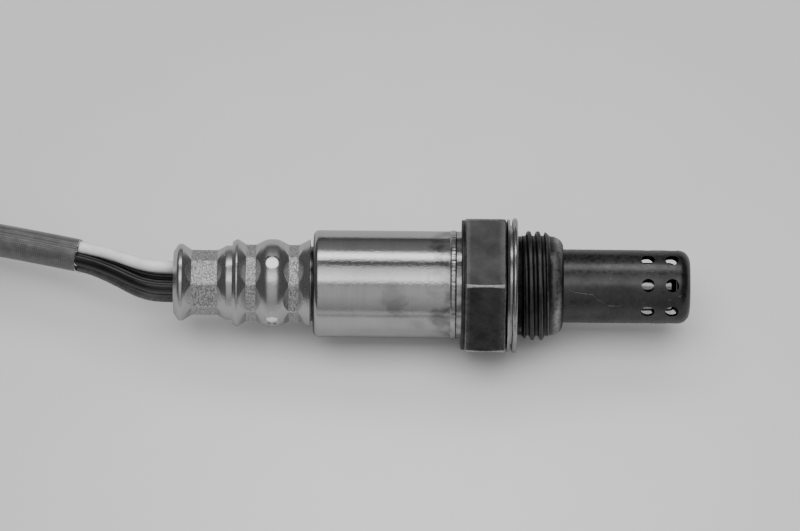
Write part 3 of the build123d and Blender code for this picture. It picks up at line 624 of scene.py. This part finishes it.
# The bore's steps, from the nose back to the spigot behind the collar.
bore_rows = [(nose_end, protector_r), (flange_front, protector_r), (flange_front, 7.22),
             (flange_rear, 7.22), (flange_rear, 3.6),
             (-3.3, 3.6), (-5.7, 6.0), (-16.0, 6.0), (-16.0, 5.1), (-16.9, 5.1), (-16.9, 6.3),
             (-14.9, 8.35)]
collar_rows = [(collar_rear, 8.35), (collar_rear, 10.0),
               *rounded(collar_rear, 10.65, collar_rear + 0.15, 10.8),
               (hex_rear - 0.05, 10.8), (hex_rear, 10.75)]
relief_rows = [(hex_front, 8.6), (hex_front + 0.05, 8.2)]
body_rows = collar_rows + hexagon_rows + relief_rows + thread_rows + nose_rows + bore_rows
body = ring_shell("body", body_rows, turns)
print("body", len(body.data.polygons), "faces")


# %% Helpers for geometry nodes
class Tree(Wiring):
    """A geometry node tree with named inputs."""

    def __init__(self, name, **sizes):
        super().__init__(bpy.data.node_groups.new(name, "GeometryNodeTree"))
        face = self.tree.interface
        face.new_socket("Geometry", in_out="INPUT", socket_type="NodeSocketGeometry")
        self.sizes = {}
        for key, value in sizes.items():
            kind = "NodeSocketInt" if isinstance(value, int) else "NodeSocketFloat"
            self.sizes[key] = (face.new_socket(key.replace("_", " "), in_out="INPUT",
                                               socket_type=kind).identifier, value)
        face.new_socket("Geometry", in_out="OUTPUT", socket_type="NodeSocketGeometry")
        self.entry = self.tree.nodes.new("NodeGroupInput")
        self.start = self.entry.outputs["Geometry"]

    def size(self, key):
        return self.entry.outputs[key.replace("_", " ")]

    def join(self, x=0.0, y=0.0, z=0.0):
        return self.node("CombineXYZ", i0=x, i1=y, i2=z)

    def moved_off_axis(self, shape, chosen, x, y, z, pull):
        """The chosen points of a shape, with their distance from the axis times pull."""
        return self.node("GeometryNodeSetPosition", Geometry=shape, Selection=chosen,
                         Position=self.join(x, self.times(y, pull), self.times(z, pull)))

    def apply(self, carrier, geometry, material):
        """Ends the tree, runs it on the carrier and leaves a plain mesh there."""
        real = self.node("GeometryNodeRealizeInstances", Geometry=geometry)
        painted = self.node("GeometryNodeSetMaterial", Geometry=real, Material=material)
        outlet = self.tree.nodes.new("NodeGroupOutput")
        self.tree.links.new(painted, outlet.inputs[0])
        modifier = carrier.modifiers.new(self.tree.name, "NODES")
        modifier.node_group = self.tree
        for identifier, value in self.sizes.values():
            modifier[identifier] = value
        state = bpy.context.evaluated_depsgraph_get()
        baked = bpy.data.meshes.new_from_object(
            carrier.evaluated_get(state), preserve_all_data_layers=True, depsgraph=state)
        carrier.modifiers.remove(modifier)
        carrier.data = baked
        print(carrier.name, len(baked.polygons), "faces")
        return carrier


# %% [markdown]
# ## Dark body steel
# Heat and handling have turned the body dark. Its rolled corners and the edges of
# the hexagon are rubbed brighter, so the mesh carries a wear value: one on a rolled
# corner, fading out over the flats, a little over half that along the hexagon's end
# edges, and a soft band where the nose is rolled over. The thread's crests get
# theirs when it is cut, and its roots are painted nearly black: painted shade in the grooves.

# %% Wear on the body
end_edge_wear, end_edge_width, nose_wear = 0.6, 0.3, 0.9
nose_wear_from_thread, nose_wear_width = 1.2, 0.9
under_crown, crown_fade = 0.03, 0.08
wear = body.data.attributes.new("wear", "FLOAT", "POINT")
for vertex in body.data.vertices:
    x, radius = vertex.co.x / MM, (vertex.co.y ** 2 + vertex.co.z ** 2) ** 0.5 / MM
    amount = 0.0
    if hex_rear - 0.01 < x < hex_front + 0.01 and radius > 10.7:
        over = flat_at(atan2(vertex.co.z, vertex.co.y)) - crown_at(x - hex_rear)
        amount = min(max((over + under_crown) / crown_fade, 0), 1)
        edge = min(x - hex_rear, hex_front - x)
        amount = max(amount, end_edge_wear * max(0.0, 1 - edge / end_edge_width))
    if x > thread_to + 0.2 and radius > nose_lip_r + 0.1:
        away = abs(x - thread_to - nose_wear_from_thread)
        amount = nose_wear * max(0.0, 1 - away / nose_wear_width)
    wear.data[vertex.index].value = amount
print("worn points", sum(1 for value in wear.data if value.value > 0.5))

# %% Cut the thread
def thread_tree(material):
    """Pulls the points between the thread's two ends in to the helix."""
    tree = Tree("thread_cut", Pitch=1.5 * MM, Root_radius=8.3 * MM, Depth=0.75 * MM,
                Start=thread_from * MM, End=thread_to * MM, Phase=0.147)
    x, y, z = tree.split(tree.node("GeometryNodeInputPosition"))
    radius = tree.off_axis(y, z)
    share = tree.sum(tree.sum(z, y, "ARCTAN2"), 2 * pi, "DIVIDE")
    turn_place = tree.sum(tree.sum(x, tree.size("Pitch"), "DIVIDE"), share, "SUBTRACT")
    along = tree.sum(tree.sum(turn_place, tree.size("Phase"), "SUBTRACT"), 0.0, "FRACT")
    from_crest = tree.sum(tree.sum(along, 0.5, "SUBTRACT"), 0.0, "ABSOLUTE")
    at_crest, at_root, worn_height, worn_spread = 0.10, 0.36, 0.9, 0.09
    height = tree.node("MapRange", settings={"interpolation_type": "SMOOTHSTEP"},
                       i0=from_crest, i1=at_crest, i2=at_root, i3=0.0, i4=1.0)
    cut = tree.sum(height, tree.size("Depth"), "MULTIPLY_ADD", tree.size("Root_radius"))
    new_radius = tree.sum(radius, cut, "MINIMUM")
    pull = tree.sum(new_radius, radius, "DIVIDE")
    after_start = tree.sum(x, tree.sum(tree.size("Start"), 0.001 * MM, "SUBTRACT"),
                           "GREATER_THAN")
    before_end = tree.sum(x, tree.sum(tree.size("End"), 0.001 * MM), "LESS_THAN")
    outside = tree.sum(radius, 7.5 * MM, "GREATER_THAN")
    here = tree.times(tree.times(after_start, before_end), outside)
    off_edge = tree.sum(tree.sum(height, worn_height, "SUBTRACT"), 0.0, "ABSOLUTE")
    worn = tree.ramp(off_edge, 0.0, worn_spread, 1.0, 0.0)
    marked = tree.node("GeometryNodeStoreNamedAttribute", settings={"domain": "POINT"},
                       Geometry=tree.start, Selection=here, Name="wear", Value=worn)
    tree.apply(body, tree.moved_off_axis(marked, here, x, y, z, pull), material)


print("the thread runs from", thread_from, "to", thread_to, "mm")

# %% Dark steel for the body
dark_steel = Graph("body_dark_steel")
wear_share = dark_steel.node("Attribute", output=2, settings={"attribute_name": "wear"})
blotches = dark_steel.noise(260, 4, 0.6)
fine_spots = dark_steel.noise(1800, 3, 0.6)
rubbed = dark_steel.times(wear_share, dark_steel.ramp(fine_spots, 0.3, 0.62, 0.35, 1.0))
oxide = dark_steel.ramp(dark_steel.sum(blotches, dark_steel.times(fine_spots, 0.5)),
                        0.55, 0.95, 0.050, 0.110)
off_axis = dark_steel.off_axis(dark_steel.axis("Y"), dark_steel.axis("Z"))
in_thread = dark_steel.ramp(dark_steel.axis("X"), 0.5 * MM, 0.8 * MM)
# Painted shade: the thread's roots are painted nearly black for the shadow in the grooves.
in_root = dark_steel.times(in_thread, dark_steel.ramp(off_axis, 8.35 * MM, 8.75 * MM, 0.3, 0.0))
root_shade_level, bare_level = 0.01, 0.62
root_shaded = dark_steel.mix(in_root, oxide, root_shade_level)
dark_level = dark_steel.mix(rubbed, root_shaded, bare_level)
dark_rough = dark_steel.sum(dark_steel.ramp(fine_spots, 0.3, 0.7, 0.36, 0.50),
                            dark_steel.times(rubbed, -0.12))
forged = dark_steel.bump(blotches, 0.012 * MM, 0.6)
pitted = dark_steel.bump(fine_spots, 0.010 * MM, 0.6, forged)
dark_steel.finish(dark_level, dark_rough, 1.0, pitted)
thread_tree(dark_steel.material)
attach(body, "root")
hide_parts("housing")

# %% [markdown]
# ## The laser weld
# The main cover is welded to the body all the way round. The bead is a low convex
# ring whose surface froze in small ripples, one for each pulse of the laser, so a
# ring is swept round the axis and a wave along it makes the ripples.

# %% Weld bead
def weld_ring(material):
    """A closed ring round the axis whose section swells and leans with each pulse."""
    carrier = add_mesh("weld_bead", [(0, 0, 0)])
    tree = Tree("weld_bead", Station=weld_x, Ring_radius=8.86 * MM, Half_width=0.55 * MM,
                Height=0.17 * MM, Pulses=76, Ripple=0.012 * MM, Lean=0.03 * MM)
    circle = tree.node("GeometryNodeCurvePrimitiveCircle", Resolution=608,
                       Radius=tree.size("Ring_radius"))
    section = tree.node("GeometryNodeCurvePrimitiveCircle", Resolution=14, Radius=1.0)
    ring = tree.node("GeometryNodeCurveToMesh", Curve=circle, Profile_Curve=tree.node(
        "GeometryNodeTransform", Geometry=section, Scale=(0.0001, 0.0001, 0.0001)))
    flat_x, flat_y, _ = tree.split(tree.node("GeometryNodeInputPosition"))
    face_x, face_y, face_along = tree.split(tree.node("GeometryNodeInputNormal"))
    turn = tree.sum(flat_y, flat_x, "ARCTAN2")
    cosine, sine = tree.sum(turn, 0.0, "COSINE"), tree.sum(turn, 0.0, "SINE")
    pulse = tree.sum(tree.times(turn, tree.size("Pulses")), 0.0, "SINE")
    outward = tree.sum(tree.times(face_x, cosine), tree.times(face_y, sine))

    def swelling(share, size, wave):
        """A share of one size, and on the outer side a wave with each pulse."""
        rippled = tree.times(tree.times(pulse, tree.size(wave)),
                             tree.sum(outward, 0.0, "MAXIMUM"))
        return tree.sum(tree.times(share, tree.size(size)), rippled)

    radius = tree.sum(tree.size("Ring_radius"), swelling(outward, "Height", "Ripple"))
    station = tree.sum(tree.size("Station"), swelling(face_along, "Half_width", "Lean"))
    placed = tree.node("GeometryNodeSetPosition", Geometry=ring, Position=tree.join(
        station, tree.times(cosine, radius), tree.times(sine, radius)))
    return tree.apply(carrier, placed, material)


bead_steel = Graph("weld_bead_steel")
bead_level = bead_steel.ramp(bead_steel.noise(900, 3), 0.35, 0.65, 0.34, 0.6)
bead_rough = bead_steel.ramp(bead_steel.noise(500, 2), 0.3, 0.7, 0.16, 0.3)
bead_steel.finish(bead_level, bead_rough, 1.0,
                  bead_steel.bump(bead_steel.noise(2600, 2), 0.004 * MM, 0.5))
bead = weld_ring(bead_steel.material)
bead.data.shade_smooth()
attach(bead, "root")

# %% [markdown]
# ## The braided sleeve
# The sleeve is a woven tube with a wall, open at both ends, so that the leads are
# seen going into a dark mouth. Its rings are set square to the route's smooth line.
# They are nearly round, with a narrow crease along the top that runs out after a few
# centimetres, and each ring carries texture coordinates for the braid.

# %% Walk along a line
def walk(line, distances):
    """Points at growing distances along a line that is given by close points."""
    spots, edge, done = [], 0, 0.0
    for distance in distances:
        while edge < len(line) - 2 and done + (line[edge + 1] - line[edge]).length < distance:
            done += (line[edge + 1] - line[edge]).length
            edge += 1
        step = line[edge + 1] - line[edge]
        spots.append(line[edge] + step * min((distance - done) / step.length, 1))
    return spots


def side_and_up(forward):
    """The two directions square to a forward one."""
    side = forward.cross(Vector((0, 0, 1))).normalized()
    return side, side.cross(forward)


middle = walk(sleeve_line, [sleeve_length / 2])[0]
print("the sleeve's middle, in mm:", [round(v / MM, 1) for v in middle])


# %% The sleeve's rings
mouth_depth, mouth_wall, ring_step, ring_points = 7.0, 0.55, 0.8, 56
crease_turn, crease_depth, crease_width, crease_fade = radians(88), 0.55, radians(6), 70.0
length_mm = sleeve_length / MM
outer_count = int((length_mm - 1.0) / ring_step)
outer_steps = spread(0.5, length_mm - 0.5, outer_count)
outer_r = sleeve_d / 2
mouth = [(mouth_depth - 1.3 * i, outer_r - mouth_wall) for i in range(6)]
mouth += [(0.12, outer_r - 0.42), (0.0, outer_r - 0.27), (0.12, outer_r - 0.1)]  # the rim
ring_rows = (mouth + [(distance, outer_r) for distance in outer_steps]
             + [(length_mm - distance, radius) for distance, radius in reversed(mouth)])
ordered = sorted(set(distance for distance, _ in ring_rows))


def on_line(shift):
    """For each ring, the point so many millimetres further along the sleeve's line."""
    places = [min(max(distance + shift, 0), length_mm) * MM for distance in ordered]
    return dict(zip(ordered, walk(sleeve_line, places)))


spots, ahead, behind = on_line(0), on_line(1), on_line(-1)
swell_height, swell_run = 0.10, 9
ring_verts, ring_coords = [], []
for distance, radius in ring_rows:
    side, up = side_and_up((ahead[distance] - behind[distance]).normalized())
    crease = crease_depth * max(0.0, 1 - distance / crease_fade)
    for j in range(ring_points):
        turn = 2 * pi * j / ring_points
        off = (turn - crease_turn + pi) % (2 * pi) - pi
        dent = crease * exp(-(off / crease_width) ** 2)
        swell = swell_height * noise.noise(
            Vector((distance / swell_run, 2 * cos(turn), 2 * sin(turn))))
        here = min(radius - dent + swell, outer_r) * MM
        ring_verts.append(spots[distance] + side * cos(turn) * here + up * sin(turn) * here)
    ring_coords.append(distance / (pi * sleeve_d))

ring_faces, corner_coords = [], []
for i in range(len(ring_rows) - 1):
    for j in range(ring_points):
        after = (j + 1) % ring_points
        ring_faces.append((i * ring_points + j, i * ring_points + after,
                           (i + 1) * ring_points + after, (i + 1) * ring_points + j))
        near, far = j / ring_points, (j + 1) / ring_points
        corner_coords += [(near, ring_coords[i]), (far, ring_coords[i]),
                          (far, ring_coords[i + 1]), (near, ring_coords[i + 1])]
for row in (0, len(ring_rows) - 1):
    cap = [row * ring_points + j for j in range(ring_points)]
    ring_faces.append(cap if row else cap[::-1])
    corner_coords += [(0.5, ring_coords[row])] * ring_points
sleeve_tube = add_mesh("sleeve_tube", ring_verts, faces=ring_faces)
sleeve_mesh = sleeve_tube.data
braid_map = sleeve_mesh.uv_layers.new(name="braid")
for corner, spot in zip(braid_map.data, corner_coords):
    corner.uv = spot
sleeve_mesh.shade_smooth()
bpy.data.objects.remove(sleeve_cord)
print("sleeve", len(ring_faces), "faces")

# %% Braided yarn
yarns_each_way = 26
braid = Graph("sleeve_braid")
braid_place = braid.node("UVMap", settings={"uv_map": "braid"})
across, down, _ = braid.split(braid_place)
waves = 2 * pi * yarns_each_way
slant_left = braid.times(braid.sum(across, down), waves)
slant_right = braid.times(braid.sum(across, down, "SUBTRACT"), waves)
crossing = braid.times(braid.sum(slant_left, 0.0, "SINE"), braid.sum(slant_right, 0.0, "SINE"))
yarn_height = braid.ramp(crossing, -1, 1)
dusty = braid.ramp(braid.noise(900, 4, 0.65), 0.3, 0.7, -0.35, 0.35)
worn_patches = braid.ramp(braid.noise(150, 3, 0.6), 0.35, 0.7, -0.15, 0.2)
shade = braid.sum(braid.sum(yarn_height, dusty), worn_patches)
braid.finish(braid.mix(braid.ramp(shade, 0.0, 1.1), grey(50), grey(82)), 0.4,
             normal=braid.bump(braid.sum(yarn_height, braid.times(dusty, 0.4)),
                               0.05 * MM, 0.8),
             Coat_Weight=1.0, Coat_Roughness=0.2)
sleeve_mesh.materials.append(braid.material)
print("braid of", yarns_each_way, "yarns each way")

# %% [markdown]
# A few yarns have come loose at the mouth. They are small bent threads, placed round
# the rim by Geometry Nodes with a fixed seed: each turns its own way and has its own
# length, and all of them lean outwards and forwards as cut yarn does.

# %% Loose yarns at the mouth
def loose_yarns(material):
    """Short bent threads round the sleeve's mouth."""
    forward = (walk(sleeve_line, [1 * MM])[0] - sleeve_line[0]).normalized()
    side, up = side_and_up(forward)
    count, rim_r = 26, (outer_r - 0.25) * MM
    points = [sleeve_line[0] + forward * 0.2 * MM + side * cos(t) * rim_r + up * sin(t) * rim_r
              for t in (2 * pi * i / count for i in range(count))]
    carrier, toward_leads = add_mesh("loose_yarns", points), forward * -1.1
    outward = carrier.data.attributes.new("outward", "FLOAT_VECTOR", "POINT")
    for place, spot in zip(outward.data, points):
        place.vector = ((spot - sleeve_line[0]).normalized() + toward_leads).normalized()
    tree = Tree("loose_yarns", Yarn_radius=0.055 * MM, Shortest=0.5 * MM, Longest=1.25 * MM,
                Share=0.6, Seed=7)
    thread = tree.node("GeometryNodeCurveQuadraticBezier", Resolution=5,
                       Start=(0, 0, 0), Middle=(0.25, 0, 0.55), End=(0.1, 0.3, 1.0))
    lean = tree.node("FunctionNodeAlignRotationToVector", settings={"axis": "Z"},
                     Vector=tree.node("GeometryNodeInputNamedAttribute", Name="outward",
                                      settings={"data_type": "FLOAT_VECTOR"}))
    length = tree.node("FunctionNodeRandomValue", output=1, settings={"data_type": "FLOAT"},
                       i2=tree.size("Shortest"), i3=tree.size("Longest"),
                       Seed=tree.size("Seed"))
    kept = tree.node("FunctionNodeRandomValue", output=3, settings={"data_type": "BOOLEAN"},
                     Probability=tree.size("Share"), Seed=tree.size("Seed"))
    placed = tree.node("GeometryNodeInstanceOnPoints", Points=tree.start, Instance=thread,
                       Selection=kept, Rotation=lean, Scale=tree.join(length, length, length))
    turned = tree.node("GeometryNodeRotateInstances", Instances=placed, Rotation=tree.node(
        "FunctionNodeRandomValue", output=0, settings={"data_type": "FLOAT_VECTOR"},
        i0=(-0.5, -0.5, -3.0), i1=(0.5, 0.5, 3.0), Seed=tree.size("Seed")))
    runs = tree.node("GeometryNodeRealizeInstances", Geometry=turned)
    section = tree.node("GeometryNodeCurvePrimitiveCircle", Resolution=5,
                        Radius=tree.size("Yarn_radius"))
    tubes = tree.node("GeometryNodeCurveToMesh", Curve=runs, Profile_Curve=section,
                      Fill_Caps=True)
    return tree.apply(carrier, tubes, material)


pale_yarn = Graph("sleeve_loose_yarn")
pale_yarn.finish(pale_yarn.ramp(pale_yarn.noise(2000, 3), 0.3, 0.7, grey(150), grey(225)), 0.6)
yarns = loose_yarns(pale_yarn.material)
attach(yarns, "root")

# %% [markdown]
# ## The other finishes
# Most of the remaining pieces need one of two graphs. A worked metal has a base
# brightness that drifts over the piece, a roughness broken up by fine spots and a
# shallow tool texture. A matte piece is the same idea without metal: moulded,
# pressed or fired stuff with a speckle and a grain of its own size.

# %% Worked metals and matte stuff
def worked_metal(name, dark, bright, roughness, lines=None, mottle=220, grain=0.004):
    """Sheet or turned metal. Lines gives the stretch of its tool marks."""
    metal = Graph(name)
    drift = metal.noise(mottle, 4, 0.6)
    marks = metal.noise(1500, 2, stretch=lines or (1, 1, 1))
    mixed = metal.sum(drift, metal.times(marks, 0.5))
    level = metal.ramp(mixed, 0.5, 1.0, dark, bright)
    rough = metal.ramp(marks, 0.3, 0.7, roughness * 0.75, roughness * 1.25)
    return metal.finish(level, rough, 1.0, metal.bump(marks, grain * MM, 0.5))


def matte(name, dark, bright, roughness, speckle=900, grain=0.01):
    """Rubber, plastic or ceramic, from the two greys between which it drifts."""
    stuff = Graph(name)
    spots = stuff.noise(speckle, 4, 0.6)
    drift = stuff.noise(speckle / 9, 3)
    level = stuff.ramp(stuff.sum(spots, drift), 0.7, 1.3, grey(dark), grey(bright))
    rough = stuff.ramp(spots, 0.3, 0.7, roughness * 0.85, roughness * 1.15)
    return stuff.finish(level, rough, 0.0, stuff.bump(spots, grain * MM, 0.6))


round_lines, long_lines = (2.2, 0.05, 0.05), (0.05, 1.6, 1.6)
finishes = {
    "gasket": worked_metal("gasket_metal", 0.30, 0.62, 0.24, round_lines, mottle=330),
    "outer_protector": worked_metal("protector_dark_steel", 0.065, 0.12, 0.32, grain=0.012),
    # Painted shade: the inner cup is written darker than bright steel, for the shade in the gap
    # behind the protector's holes.
    "inner_protector": worked_metal("inner_protector_steel", 0.24, 0.5, 0.16, round_lines),
    "sensing_element": matte("zirconia_coated", 120, 170, 0.55, 1400),
    "heater_rod": matte("heater_alumina", 205, 228, 0.45, 1400, 0.004),
    "lower_packing": worked_metal("packing_metal", 0.35, 0.55, 0.35),
    "talc_seal": matte("pressed_talc", 160, 196, 0.85, 1800, 0.02),
    "ceramic_ring": matte("ring_ceramic", 208, 232, 0.4, 1200, 0.004),
    "crimp_ring": worked_metal("crimp_ring_steel", 0.4, 0.58, 0.25),
    "outer_contact": worked_metal("contact_nickel", 0.5, 0.66, 0.22, long_lines),
    "inner_contact": worked_metal("inner_contact_nickel", 0.5, 0.66, 0.22, long_lines),
    "heater_contact_a": worked_metal("heater_contact_nickel", 0.46, 0.62, 0.26, long_lines),
    "terminal_insulator": matte("insulator_ceramic", 205, 230, 0.35, 1200, 0.004),
    "insulator_spring": worked_metal("spring_steel", 0.36, 0.5, 0.28, round_lines),
    "vent_filter": matte("filter_felt", 222, 244, 0.8, 2600, 0.02),
    "cable_bush": matte("bush_rubber", 22, 40, 0.5, 1200, 0.006),
    "hank_tie": matte("tie_nylon", 34, 58, 0.32, 700, 0.006),
    "connector_housing": matte("connector_nylon", 46, 62, 0.42, 2400, 0.012),
    "connector_retainer": matte("retainer_nylon", 128, 148, 0.42, 2400, 0.01),
    "connector_seal": matte("seal_silicone", 92, 114, 0.55, 1600, 0.006),
    "connector_pins": worked_metal("pin_tin", 0.58, 0.72, 0.2, long_lines),
}
finishes["heater_contact_b"] = finishes["heater_contact_a"]
for node, finish in finishes.items():
    dress(node, finish)
print("dressed", len(finishes), "pieces")

# %% [markdown]
# The leads are extruded, so their skins are smooth and glossy: the white one drinks
# light a little, the black and grey ones show it as thin bright lines.

# %% Lead skins
def lead_skin(name, dark, bright, roughness):
    """An extruded skin with a little handling dirt and a faint waviness."""
    skin = Graph(name)
    dirt = skin.noise(320, 4, 0.6)
    level = skin.ramp(dirt, 0.35, 0.7, grey(bright), grey(dark))
    rough = skin.ramp(skin.noise(900, 3), 0.3, 0.7, roughness * 0.8, roughness * 1.3)
    return skin.finish(level, rough, 0.0, skin.bump(skin.noise(420, 2), 0.012 * MM, 0.4),
                       Specular_IOR_Level=0.6)


skins = {"white": lead_skin("lead_white_skin", 186, 208, 0.22),
         "black_b": lead_skin("lead_black_skin", 10, 20, 0.2),
         "grey": lead_skin("lead_grey_skin", 56, 70, 0.24)}
skins["black_a"] = skins["black_b"]
for color, skin in skins.items():
    leads[color].data.materials.append(skin)
    tails[color].data.materials.append(skin)
print("skins", sorted(set(skin.name for skin in skins.values())))

# %% [markdown]
# ## Scratches
# One bright scratch wanders down the protector, and a few short ones lie round it.
# Each is a hair-thin strip of bare metal that hugs the tube. A scratch is given as
# stations along the axis and turns round it, and the node tree sweeps the strip.

# %% Scratches on the protector
protector_r_mm = 6.1
scratch_lines = [
    [(8.5, 125), (9.3, 129), (12.5, 132.7), (13.0, 139), (14.1, 145), (15.0, 151), (16.3, 151.7),
     (17.0, 150.7)],
    [(15.1, 106.5), (15.5, 108)],
    [(22.0, 96), (22.5, 94)],
    [(24.9, 141), (25.5, 139)],
    [(26.6, 135), (27.2, 132)],
]


def scratch_strips(material):
    """Thin strips that hug the protector, one along each scratch."""
    points, edges, points_each = [], [], 6
    for line in scratch_lines:
        for (x0, t0), (x1, t1) in zip(line, line[1:]):
            for i in range(points_each):
                share = i / (points_each - 1)
                turn = radians(t0 + (t1 - t0) * share)
                points.append(((x0 + (x1 - x0) * share) * MM, protector_r_mm * cos(turn) * MM,
                               protector_r_mm * sin(turn) * MM))
                if i:
                    edges.append((len(points) - 2, len(points) - 1))
    carrier = add_mesh("protector_scratches", points, edges)
    tree = Tree("scratches", Half_width=0.032 * MM)
    runs = tree.node("GeometryNodeMeshToCurve", Mesh=tree.start)
    section = tree.node("GeometryNodeCurvePrimitiveCircle", Resolution=6,
                        Radius=tree.size("Half_width"))
    strips = tree.node("GeometryNodeCurveToMesh", Curve=runs, Profile_Curve=section,
                       Fill_Caps=True)
    x, y, z = tree.split(tree.node("GeometryNodeInputPosition"))
    radius = tree.off_axis(y, z)
    skin_r, flattening = protector_r_mm * MM, 0.11
    above = tree.sum(radius, skin_r, "SUBTRACT")
    squashed = tree.sum(tree.times(above, flattening), skin_r)
    pull = tree.sum(squashed, radius, "DIVIDE")
    hugged = tree.moved_off_axis(strips, True, x, y, z, pull)
    return tree.apply(carrier, hugged, material)


scratches = scratch_strips(worked_metal("scratch_bare_metal", 0.12, 0.5, 0.3, mottle=1500))
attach(scratches, "root")

# %% [markdown]
# ## The cords in place
# The leads, the sleeve and the tails are limp. Each is hung on the root, and the
# imported piece that it stands for is hidden.

wire_slots = {color: "lead_" + color.split("_")[0] for color in leads}
for color, wire in leads.items():
    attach(wire, "root")
    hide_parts("lead_" + color)
    line_length(spline_points(wire))
for color, wire in tails.items():
    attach(wire, "root")
    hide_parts("tail_" + color)
    line_length(spline_points(wire))
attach(sleeve_tube, "root")
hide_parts("sleeve", "sleeve_hank")
print("cords", len(leads) + len(tails) + 1)
